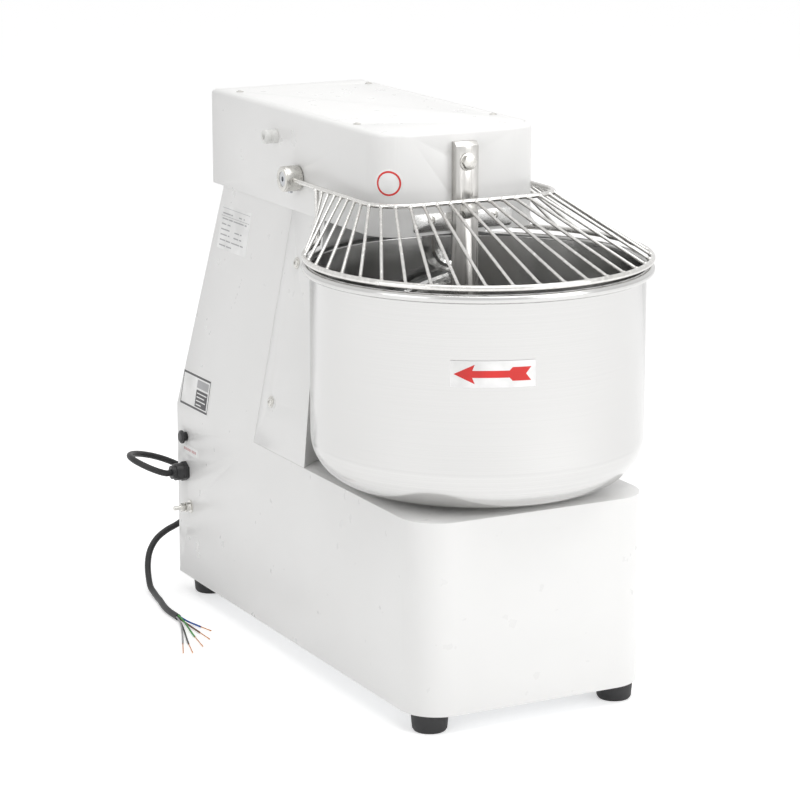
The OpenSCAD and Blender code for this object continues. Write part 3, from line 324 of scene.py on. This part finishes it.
def smooth(piece, degrees=35):
    only(piece)
    bpy.ops.object.shade_smooth_by_angle(angle=math.radians(degrees))


def face_outwards(piece):
    only(piece)
    bpy.ops.object.mode_set(mode="EDIT")
    bpy.ops.mesh.select_all(action="SELECT")
    bpy.ops.mesh.normals_make_consistent(inside=False)
    bpy.ops.object.mode_set(mode="OBJECT")


def place_on(piece, node, material, replaces=True):
    """Gives the piece its finish and its body, and lets it stand for a CAD node."""
    coat_with(piece, material)
    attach(piece, body_of[node])
    if replaces:
        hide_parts(node)


def softened(node, name, edge, segments=2, angle=30, keep=40):
    """A copy of a CAD node with its sharp edges rounded a little, standing for the node."""
    source = nodes[node]
    piece = source.copy()
    piece.data = source.data.copy()
    piece.name = name
    piece.parent = None
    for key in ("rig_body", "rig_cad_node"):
        if key in piece:
            del piece[key]
    scene.collection.objects.link(piece)
    only(piece)
    bpy.ops.object.mode_set(mode="EDIT")
    bpy.ops.mesh.select_all(action="SELECT")
    bpy.ops.mesh.remove_doubles(threshold=0.00002)
    bpy.ops.mesh.dissolve_limited(angle_limit=math.radians(0.6))
    bpy.ops.object.mode_set(mode="OBJECT")
    if edge:
        finish_with(piece, "BEVEL", width=edge, segments=segments, limit_method="ANGLE",
                    angle_limit=math.radians(angle), use_clamp_overlap=True)
    smooth(piece, keep)
    place_on(piece, node, finishes[node])
    return piece


def flat_sheet(name, outlines, thickness):
    """A thin plate from closed outlines in its own plane, an inner one being a hole."""
    curve = bpy.data.curves.new(name, "CURVE")
    curve.dimensions = "2D"
    curve.fill_mode = "BOTH"
    curve.extrude = thickness / 2
    for outline in outlines:
        line = curve.splines.new("POLY")
        line.points.add(len(outline) - 1)
        for point, (x, y) in zip(line.points, outline):
            point.co = (x, y, 0, 1)
        line.use_cyclic_u = True
    piece = bpy.data.objects.new(name, curve)
    scene.collection.objects.link(piece)
    only(piece)
    bpy.ops.object.convert(target="MESH")
    return bpy.context.view_layer.objects.active


def swept(name, points, radius, sides=6, fine=6, ends=True):
    """A round tube along the points, as a curve."""
    curve = bpy.data.curves.new(name, "CURVE")
    curve.dimensions = "3D"
    curve.bevel_depth = radius
    curve.bevel_resolution = sides
    curve.resolution_u = fine
    curve.use_fill_caps = ends
    line = curve.splines.new("POLY")
    line.points.add(len(points) - 1)
    for point, place in zip(line.points, points):
        point.co = (*place, 1)
    piece = bpy.data.objects.new(name, curve)
    scene.collection.objects.link(piece)
    return piece


def catmull(points, steps):
    """A smooth line through the points."""
    line = [Vector(p) for p in points]
    ends = [2 * line[0] - line[1]] + line + [2 * line[-1] - line[-2]]
    made = []
    for i in range(1, len(ends) - 2):
        a, b, c, d = ends[i - 1:i + 3]
        for k in range(steps):
            t = k / steps
            made.append(0.5 * ((2 * b) + (c - a) * t + (2 * a - 5 * b + 4 * c - d) * t * t
                               + (3 * b - a - 3 * c + d) * t ** 3))
    made.append(line[-1])
    return made


# ---------------------------------------------------------------- supply cord and its cores

cord_d = 0.0085
gland_low, gland_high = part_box("cable_gland")
gland_y = (gland_low.y + gland_high.y) / 2
gland_z = (gland_low.z + gland_high.z) / 2
cord_exit = Vector((gland_low.x, gland_y, gland_z))
cord_end = Vector((-0.222, 0.240, 0.0046))
cord_route = [
    cord_exit, cord_exit - Vector((cord_d, 0, 0)),
    (-0.205, 0.355, 0.177), (-0.217, 0.366, 0.183), (-0.223, 0.382, 0.187), (-0.221, 0.399, 0.188),
    (-0.211, 0.414, 0.186), (-0.195, 0.424, 0.182), (-0.175, 0.428, 0.176), (-0.155, 0.428, 0.168),
    (-0.136, 0.428, 0.158), (-0.120, 0.428, 0.147), (-0.109, 0.428, 0.132), (-0.106, 0.428, 0.115),
    (-0.111, 0.428, 0.099), (-0.123, 0.428, 0.086), (-0.140, 0.427, 0.076), (-0.159, 0.425, 0.069),
    (-0.176, 0.420, 0.060), (-0.189, 0.412, 0.047), (-0.197, 0.401, 0.032), (-0.202, 0.387, 0.018),
    (-0.206, 0.371, 0.009), (-0.208, 0.354, 0.0056), (-0.211, 0.336, 0.0046), (-0.214, 0.318, 0.0046),
    (-0.218, 0.300, 0.0046), (-0.221, 0.282, 0.0046), (-0.222, 0.265, 0.0046),
    cord_end + Vector((0, cord_d, 0)), cord_end,
]


def line_length(points):
    return sum((Vector(b) - Vector(a)).length for a, b in zip(points, points[1:]))


cord_line = catmull(cord_route, 5)
cord = swept("supply_lead", cord_line, cord_d / 2, 7)
cord.data.materials.append(cord_jacket)
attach(cord, body_of["supply_cord"])
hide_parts("supply_cord")

# Blue, brown, earth, black and grey cores, each with its bare end; the green with yellow earth core is
# coloured plain green
core_z = 0.0022
core_names = ("blue", "brown", "earth", "black", "grey")
core_colours = ((0.02, 0.10, 0.42), (0.16, 0.055, 0.02), (0.05, 0.30, 0.05), (0.015, 0.015, 0.016),
                (0.36, 0.36, 0.37))
core_order = (1, 2, 0, 3, 4)
core_ends = ((-0.209, 0.196), (-0.220, 0.174), (-0.233, 0.161), (-0.252, 0.137), (-0.258, 0.142))
tip_ends = ((-0.204, 0.174), (-0.220, 0.142), (-0.240, 0.119), (-0.262, 0.101), (-0.273, 0.106))


def core_line(i):
    """From the jacket's end to the end of the core's insulation."""
    turn = math.radians(90 - 72 * core_order[i])
    root = cord_end + 0.0025 * Vector((math.cos(turn), 0, math.sin(turn)))
    out = Vector((*core_ends[i], core_z))
    way = (Vector((*tip_ends[i], core_z)) - out).normalized()
    a, b, c, d = root, root + Vector((0, -0.020, 0)), out - 0.028 * way, out
    line = []
    for k in range(17):
        t = k / 16
        line.append((1 - t) ** 3 * a + 3 * t * (1 - t) ** 2 * b + 3 * t * t * (1 - t) * c + t ** 3 * d)
    return line


for i, core_name in enumerate(core_names):
    core = swept("core_" + core_name, core_line(i), 0.0012, 4)
    core.data.materials.append(moulded("core_" + core_name, core_colours[i], 0.4, 1200, 0.03))
    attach(core, body_of["cord_cores"])
    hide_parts("cord_cores")

# Each bare end is a twist of fine strands that opens a little at its tip
for i, core_name in enumerate(core_names):
    start = Vector((*core_ends[i], core_z))
    way = Vector((*tip_ends[i], core_z)) - start
    side = way.cross(Vector((0, 0, 1))).normalized()
    strands = []
    for s in range(7):
        turn0 = 2 * math.pi * s / 7
        points = []
        for k in range(13):
            t = k / 12
            turn = turn0 + 5 * t
            off = 0.00048 * (1 + 0.35 * t * t) * (0 if s == 6 else 1)
            round_axis = math.cos(turn) * side + math.sin(turn) * Vector((0, 0, 1))
            points.append(start + way * t + off * round_axis)
        strands.append(swept("strand", points, 0.00028, 1))
    bpy.ops.object.select_all(action="DESELECT")
    for strand in strands:
        strand.select_set(True)
    bpy.context.view_layer.objects.active = strands[0]
    bpy.ops.object.convert(target="MESH")
    bpy.ops.object.join()
    twist = bpy.context.view_layer.objects.active
    twist.name = "bare_end_" + core_name
    smooth(twist, 60)
    place_on(twist, "core_tips", copper)

print("supply lead", round(line_length(cord_line), 3), "m")


# ---------------------------------------------------------------- bowl, spun from sheet with a rolled rim

def spun(name, outline, centre, steps=160):
    """Turns a closed outline of (radius, height) points about a vertical axis."""
    curve_points = [(centre[0] + r, centre[1], z) for r, z in outline]
    bpy.ops.object.select_all(action="DESELECT")
    bpy.ops.mesh.primitive_plane_add(size=0.001, location=(centre[0], centre[1], 0))
    piece = bpy.context.view_layer.objects.active
    piece.name = name
    settle(piece)
    bpy.ops.object.mode_set(mode="EDIT")
    bpy.ops.mesh.select_all(action="SELECT")
    bpy.ops.mesh.delete(type="VERT")
    work = bmesh.from_edit_mesh(piece.data)
    corners = [work.verts.new(p) for p in curve_points]
    for a, b in zip(corners, corners[1:] + corners[:1]):
        work.edges.new((a, b))
    bmesh.update_edit_mesh(piece.data)
    bpy.ops.mesh.select_all(action="SELECT")
    bpy.ops.mesh.spin(steps=steps, angle=2 * math.pi, center=(centre[0], centre[1], 0), axis=(0, 0, 1))
    bpy.ops.mesh.select_all(action="SELECT")
    bpy.ops.mesh.remove_doubles(threshold=0.000005)
    bpy.ops.mesh.normals_make_consistent(inside=False)
    bpy.ops.object.mode_set(mode="OBJECT")
    return piece


def arc(cx, cz, radius, start, end, count):
    """Points of an arc, angles in degrees."""
    made = []
    for k in range(count + 1):
        a = math.radians(start + (end - start) * k / count)
        made.append((cx + radius * math.cos(a), cz + radius * math.sin(a)))
    return made


bowl_wall = 0.0012
bowl_rim_r = (bowl_high.x - bowl_low.x) / 2
rim_tube = 0.0055
bowl_in = bowl_rim_r - 2 * rim_tube
bowl_corner = 0.055
rim_z = bowl_high.z - rim_tube
rim_c = bowl_in + rim_tube
outer_r = bowl_in + bowl_wall
bowl_outline = (
    [(0.0004, bowl_low.z)]
    + arc(outer_r - bowl_corner - bowl_wall, bowl_low.z + bowl_corner + bowl_wall, bowl_corner + bowl_wall,
          -90, 0, 14)
    + [(outer_r, rim_z - 0.0052)]
    + arc(rim_c, rim_z, rim_tube, -128, 180, 26)
    + arc(bowl_in - bowl_corner, bowl_low.z + bowl_wall + bowl_corner, bowl_corner, 0, -90, 14)
    + [(0.0004, bowl_low.z + bowl_wall)]
)
bowl = spun("spun_bowl", bowl_outline, bowl_axis)
smooth(bowl, 50)
place_on(bowl, "bowl", bowl_steel)

# ---------------------------------------------------------------- softened copies of the plain metalwork

softened("cabinet", "cabinet_sheet", 0.0005)
softened("front_cover", "front_cover_sheet", 0.0005)
softened("rear_cover", "rear_cover_sheet", 0.0003)
softened("head_shell", "head_shell_sheet", 0.0004)
softened("head_lid", "head_lid_sheet", 0.0006)
softened("control_plate", "control_plate_brushed", 0.0005)
softened("breaker_bar", "breaker_bar_milled", 0.0007)
softened("bar_bolts", "bar_hex_bolts", 0.0004)
softened("guard_bosses", "guard_pivot_bosses", 0.0005)
softened("stop_peg", "stop_peg_turned", 0.0006)
softened("rubber_feet", "moulded_feet", 0.0012, 3)
softened("cable_gland", "gland_body", 0.0005)
softened("earth_stud", "earth_terminal", 0.0002)
softened("start_button", "start_push", 0.0008, 3)
softened("stop_button", "stop_mushroom", 0.0012, 3)
softened("timer_knob", "timer_dial_knob", 0.0008, 3)
softened("reset_button", "reset_push", 0.0008, 3)
softened("splash_plate", "splash_plate_sheet", 0.0003)

# ---------------------------------------------------------------- sizes shared by the details, in metres

half_w = 0.159
half_top = 0.110
tower_h = 0.300
deck_z = 0.259
back_y = 0.3785
side_lean = math.atan((half_w - half_top) / tower_h)
film_t = 0.0004
print_t = 0.0001
film_gap = 0.00003
head_half = 0.111
head_front_y = -0.1285
head_z = 0.559
head_corner = 0.040


def cut_across(piece, step):
    """Cuts a flat piece along X every so often, so that it can follow a curved face."""
    only(piece)
    low = min(v.co.x for v in piece.data.vertices)
    high = max(v.co.x for v in piece.data.vertices)
    bpy.ops.object.mode_set(mode="EDIT")
    for k in range(1, int((high - low) / step) + 1):
        bpy.ops.mesh.select_all(action="SELECT")
        bpy.ops.mesh.bisect(plane_co=(low + k * step, 0, 0), plane_no=(1, 0, 0))
    bpy.ops.object.mode_set(mode="OBJECT")


def lay_print(name, outlines, where, material, body, step=0.0):
    """A thin printed shape; where() takes a point of it to its place on the part."""
    piece = flat_sheet(name, outlines, print_t)
    settle(piece)
    if step:
        cut_across(piece, step)
    for corner in piece.data.vertices:
        corner.co = where(corner.co.x, corner.co.y, corner.co.z + print_t / 2)
    face_outwards(piece)
    coat_with(piece, material)
    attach(piece, body)
    return piece


def bar(x, y, w, h):
    return [(x, y), (x + w, y), (x + w, y + h), (x, y + h)]


def round_line(radius, count, turn=0.0):
    turns = [turn + 2 * math.pi * k / count for k in range(count)]
    return [(radius * math.cos(a), radius * math.sin(a)) for a in turns]


def on_side(along, up, out):
    """From a place on the tower's leaning left side: along Y, up the slope, and out of it."""
    away = -film_t - film_gap - out
    return Vector((-half_w + away * math.cos(side_lean) + up * math.sin(side_lean), along,
                   deck_z - away * math.sin(side_lean) + up * math.cos(side_lean)))


def on_wall(along, up, out):
    return Vector((-half_w - film_t - film_gap - out, along, up))


# ---------------------------------------------------------------- printed films

label_r = outer_r + 0.0001 + film_t + film_gap
label_start = math.radians(-90 - 23.9 - 14)
label_low, label_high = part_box("arrow_label")
label_mid_z = (label_low.z + label_high.z) / 2


def on_bowl(along, up, out):
    turn = label_start + along / label_r
    r = label_r + out
    return Vector((bowl_axis.x + r * math.cos(turn), bowl_axis.y + r * math.sin(turn), label_mid_z + up))


arrow_top = [(0.0039, 0), (0.0282, 0.0113), (0.0253, 0.0041), (0.0680, 0.0041), (0.0715, 0.0080),
             (0.0933, 0.0080), (0.0872, 0)]
arrow_line = arrow_top + [(x, -y) for x, y in reversed(arrow_top[1:-1])]
lay_print("turning_arrow", [arrow_line], on_bowl, red_ink, "bowl_set", 0.004)

badge_mid = Vector((-head_half + head_corner, head_front_y + head_corner, head_z + 0.065))
badge_r = head_corner + film_t + film_gap


def on_badge(along, up, out):
    turn = math.radians(180 + 52.5) + along / badge_r
    return badge_mid + Vector(((badge_r + out) * math.cos(turn), (badge_r + out) * math.sin(turn), up))


lay_print("badge_ring", [round_line(0.0150, 64), round_line(0.0127, 64)], on_badge, red_ink,
          "machine", 0.002)


def word_bars(rows, height, left):
    """Rows of plain bars that run towards the front, each row a list of lengths and gaps in millimetres."""
    made = []
    for up, lengths in rows:
        at = left
        for length, gap in lengths:
            made.append(bar(at - length * MM, up, length * MM, height))
            at -= (length + gap) * MM
    return made


data_rows = [
    (0.269, [(23, 2), (5, 20), (8, 6), (3, 0)]),
    (0.262, [(18, 2), (12, 3), (31, 3), (6, 0)]),
    (0.255, [(14, 4), (9, 0)]),
    (0.248, [(26, 16), (14, 3), (5, 0)]),
    (0.241, [(20, 3), (5, 13), (15, 3), (6, 0)]),
    (0.234, [(17, 2), (14, 3), (25, 2), (9, 0)]),
    (0.227, [(19, 3), (16, 0)]),
]
data_left = back_y - 0.059 - 0.006
lay_print("data_plate_lines", word_bars(data_rows, 0.0016, data_left), on_side, grey_ink,
          "machine")
data_frame = [bar(back_y - 0.147, 0.2765, 0.086, 0.0005), bar(back_y - 0.147, 0.2660, 0.086, 0.0005)]
lay_print("data_plate_rules", data_frame, on_side, grey_ink, "machine")

sign_back = back_y - 0.009
sign_low = 0.002
sign_frame = [bar(sign_back - 0.0885, sign_low + 0.0015, 0.087, 0.0450),
              bar(sign_back - 0.0870, sign_low + 0.0042, 0.084, 0.0396)]
lay_print("sign_plate_frame", sign_frame, on_side, dark_ink, "machine")
lay_print("sign_plate_head", [bar(sign_back - 0.0835, sign_low + 0.0310, 0.036, 0.0105)], on_side, grey_ink,
          "machine")
sign_block = [bar(sign_back - 0.0835, sign_low + 0.0058, 0.036, 0.0225)]
for row, length in enumerate((0.031, 0.025, 0.029, 0.017)):
    sign_block.append(bar(sign_back - 0.0500 - length, sign_low + 0.0232 - row * 0.0050, length, 0.0017))
lay_print("sign_plate_block", sign_block, on_side, dark_ink, "machine")

strip_rows = [(0.2006, [(3, 1), (2, 1.5), (4, 1), (3, 1), (3, 1), (2, 3), (4, 1), (4, 1), (4, 0)])]
strip_bars = word_bars(strip_rows, 0.0034, back_y - 0.022)
lay_print("strip_marks", strip_bars, on_wall, faded_red_ink, "machine")

# ---------------------------------------------------------------- spot welds of the guard

wire_count = 31
arm_x = head_half + 0.014
arm_front_y = head_front_y - 0.032
arm_bend = 0.045
pivot = Vector((0, 0.0935, 0.602))
arm_start_y = pivot.y - 0.079
arm_side = arm_start_y - arm_front_y - arm_bend
arm_arc = math.pi / 2 * arm_bend
arm_total = 2 * arm_side + 2 * arm_arc + 2 * (arm_x - arm_bend)
ring_r = bowl_rim_r - 0.0035
ring_z = bowl_high.z + 0.004 + 0.0035


def arm_point(s):
    """Point of the upper rod at a distance along it from its left end."""
    if s > arm_total / 2:
        far = arm_point(arm_total - s)
        return Vector((-far.x, far.y, far.z))
    if s < arm_side:
        return Vector((-arm_x, arm_start_y - s, pivot.z))
    if s < arm_side + arm_arc:
        a = math.pi + (s - arm_side) / arm_bend
        return Vector((-arm_x + arm_bend + arm_bend * math.cos(a),
                       arm_front_y + arm_bend + arm_bend * math.sin(a), pivot.z))
    return Vector((-arm_x + arm_bend + s - arm_side - arm_arc, arm_front_y, pivot.z))


def ring_point(t):
    a = math.radians(180 - 49 + t * (180 + 98))
    return Vector((bowl_axis.x + ring_r * math.cos(a), bowl_axis.y + ring_r * math.sin(a), ring_z))


def weld_bead(place, way, length, width):
    """A small uneven drop of weld, stretched along the wire."""
    bpy.ops.object.select_all(action="DESELECT")
    bpy.ops.mesh.primitive_ico_sphere_add(subdivisions=2, radius=1, location=(0, 0, 0))
    bead = bpy.context.view_layer.objects.active
    bead.scale = (width, width, length)
    bead.rotation_mode = "QUATERNION"
    bead.rotation_quaternion = way.to_track_quat("Z", "X")
    bead.location = place
    settle(bead)
    return bead


beads = []
for i in range(wire_count + 2):
    t = i / (wire_count + 1)
    upper, lower = arm_point(t * arm_total), ring_point(t)
    way = (lower - upper).normalized()
    wide = 0.0031 if 0 < i <= wire_count else 0.0041
    beads.append(weld_bead(upper + way * 0.0022, way, 0.0042 + 0.0004 * (i % 3), wide))
    beads.append(weld_bead(lower - way * 0.0026, way, 0.0046 + 0.0004 * ((i + 1) % 3), wide))
bpy.ops.object.select_all(action="DESELECT")
for bead in beads:
    bead.select_set(True)
bpy.context.view_layer.objects.active = beads[0]
bpy.ops.object.join()
welds = bpy.context.view_layer.objects.active
welds.name = "guard_spot_welds"
smooth(welds, 60)
coat_with(welds, wire_steel)
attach(welds, "guard")

# ---------------------------------------------------------------- drive recesses in the screw heads

def cross_cutter(place, way, reach, width, depth):
    """Two crossed bars that sink into a head, depth along the way."""
    made = []
    side = way.orthogonal().normalized()
    for arm in (side, way.cross(side).normalized()):
        bpy.ops.object.select_all(action="DESELECT")
        bpy.ops.mesh.primitive_cube_add(size=1, location=(0, 0, 0))
        block = bpy.context.view_layer.objects.active
        block.matrix_world = (Matrix.Translation(place)
                              @ Matrix((arm, way.cross(arm), way)).transposed().to_4x4()
                              @ Matrix.Diagonal((reach * 2, width, depth * 2, 1)))
        settle(block)
        made.append(block)
    return made


def socket_cutter(place, way, radius, depth):
    bpy.ops.object.select_all(action="DESELECT")
    bpy.ops.mesh.primitive_cylinder_add(vertices=6, radius=radius, depth=depth * 2, location=(0, 0, 0))
    block = bpy.context.view_layer.objects.active
    block.rotation_mode = "QUATERNION"
    block.rotation_quaternion = way.to_track_quat("Z", "Y")
    block.location = place
    settle(block)
    return [block]


def recessed(piece, cutters):
    """Cuts the recesses out of the piece and takes the cutters away."""
    for cutter in cutters:
        finish_with(piece, "BOOLEAN", object=cutter, operation="DIFFERENCE", solver="EXACT")
        bpy.data.objects.remove(cutter, do_unlink=True)
    smooth(piece, 40)


head_top = 0.684
lid_screw_heads = softened("lid_screws", "lid_pan_screws", 0)
cutters = []
for x in (-1, 1):
    for y in (head_front_y + 0.094, back_y - 0.022 - 0.052):
        place = Vector((x * (head_half - 0.017), y, head_top + 0.002))
        cutters += cross_cutter(place, Vector((0, 0, 1)), 0.0024, 0.0009, 0.0012)
recessed(lid_screw_heads, cutters)

side_screw_heads = softened("side_screws", "side_pan_screws", 0.00015)
cutters = []
seam_low = 0.1335
for mirror in (1, -1):
    for along, up in ((seam_low - 0.034, 0.060), (seam_low - 0.052, 0.241)):
        place = Vector((-half_w + up * math.sin(side_lean) - 0.0035 * math.cos(side_lean), along,
                        deck_z + up * math.cos(side_lean) + 0.0035 * math.sin(side_lean)))
        way = Vector((-math.cos(side_lean), 0, math.sin(side_lean)))
        place.x *= mirror
        way.x *= mirror
        cutters += cross_cutter(place, way, 0.0026, 0.0010, 0.0013)
recessed(side_screw_heads, cutters)

splash_screw_heads = softened("splash_screws", "splash_button_screws", 0)
cutters = []
for x in (-1, 1):
    place = Vector((x * 0.043, head_front_y - 0.0015 - 0.003, head_z + 0.018))
    cutters += socket_cutter(place, Vector((0, -1, 0)), 0.0019, 0.0014)
recessed(splash_screw_heads, cutters)

# ---------------------------------------------------------------- timer scale on the control plate

timer_y = back_y - 0.190 + 0.039
timer_z = 0.118 + 0.078


def on_plate(along, up, out):
    return Vector((half_w + 0.003 + film_gap + out, timer_y + along, timer_z + up))


ticks = []
for k in range(11):
    turn = math.radians(-150 + 30 * k)
    inner, outer, wide = 0.0195, (0.0240 if k % 5 == 0 else 0.0222), (0.0011 if k % 5 == 0 else 0.0006)
    way = Vector((math.sin(turn), math.cos(turn)))
    side = Vector((way.y, -way.x)) * wide / 2
    ticks.append([tuple(way * inner + side), tuple(way * outer + side), tuple(way * outer - side),
                  tuple(way * inner - side)])
lay_print("timer_scale", ticks, on_plate, dark_ink, "machine")

# ---------------------------------------------------------------- stage

bpy.ops.object.select_all(action="DESELECT")
bpy.ops.mesh.primitive_plane_add(size=40, location=(0, 0, 0))
floor = bpy.context.view_layer.objects.active
floor.name = "studio_floor"
floor_material, floor_tree, floor_shader = new_material("studio_floor", (0.93, 0.93, 0.93), 0.7)
floor_shader.inputs["Specular IOR Level"].default_value = 0.1
floor_glow = floor_tree.nodes.new("ShaderNodeEmission")
floor_glow.inputs["Color"].default_value = (1, 1, 1, 1)
floor_glow.inputs["Strength"].default_value = 0.45
floor_bright = floor_tree.nodes.new("ShaderNodeAddShader")
floor_pick = floor_tree.nodes.new("ShaderNodeMixShader")
floor_path = floor_tree.nodes.new("ShaderNodeLightPath")
floor_either = floor_tree.nodes.new("ShaderNodeMath")
floor_either.operation = "MAXIMUM"
floor_tree.links.new(floor_shader.outputs["BSDF"], floor_bright.inputs[0])
floor_tree.links.new(floor_glow.outputs["Emission"], floor_bright.inputs[1])
floor_tree.links.new(floor_path.outputs["Is Camera Ray"], floor_either.inputs[0])
floor_tree.links.new(floor_path.outputs["Is Glossy Ray"], floor_either.inputs[1])
floor_tree.links.new(floor_either.outputs["Value"], floor_pick.inputs["Fac"])
floor_tree.links.new(floor_shader.outputs["BSDF"], floor_pick.inputs[1])
floor_tree.links.new(floor_bright.outputs["Shader"], floor_pick.inputs[2])
floor_tree.links.new(floor_pick.outputs["Shader"], floor_tree.nodes["Material Output"].inputs["Surface"])
coat_with(floor, floor_material)

world = bpy.data.worlds.new("studio_world")
scene.world = world
world.use_nodes = True
tree = world.node_tree
background = tree.nodes["Background"]
background.inputs["Color"].default_value = (1, 1, 1, 1)
background.inputs["Strength"].default_value = 0.55
seen = tree.nodes.new("ShaderNodeBackground")
seen.inputs["Color"].default_value = (1, 1, 1, 1)
seen.inputs["Strength"].default_value = 1.0
path = tree.nodes.new("ShaderNodeLightPath")
mix = tree.nodes.new("ShaderNodeMixShader")
either = tree.nodes.new("ShaderNodeMath")
either.operation = "MAXIMUM"
tree.links.new(path.outputs["Is Camera Ray"], either.inputs[0])
tree.links.new(path.outputs["Is Glossy Ray"], either.inputs[1])
tree.links.new(either.outputs["Value"], mix.inputs["Fac"])
tree.links.new(background.outputs["Background"], mix.inputs[1])
tree.links.new(seen.outputs["Background"], mix.inputs[2])
tree.links.new(mix.outputs["Shader"], tree.nodes["World Output"].inputs["Surface"])


def soft_lamp(name, place, target, size, power):
    data = bpy.data.lights.new(name, "AREA")
    data.shape = "RECTANGLE"
    data.size = size
    data.size_y = size
    data.energy = power
    lamp = bpy.data.objects.new(name, data)
    scene.collection.objects.link(lamp)
    lamp.location = place
    lamp.rotation_euler = (Vector(target) - Vector(place)).to_track_quat("-Z", "Y").to_euler()
    return lamp


soft_lamp("top_lamp", (0.3, -0.6, 3.0), (0, 0, 0.3), 2.4, 36)
soft_lamp("front_lamp", (1.4, -3.0, 1.6), (0, 0, 0.35), 1.8, 34)
soft_lamp("side_lamp", (-3.0, -0.9, 1.3), (0, 0, 0.35), 1.8, 13)

scene.view_settings.view_transform = "Standard"
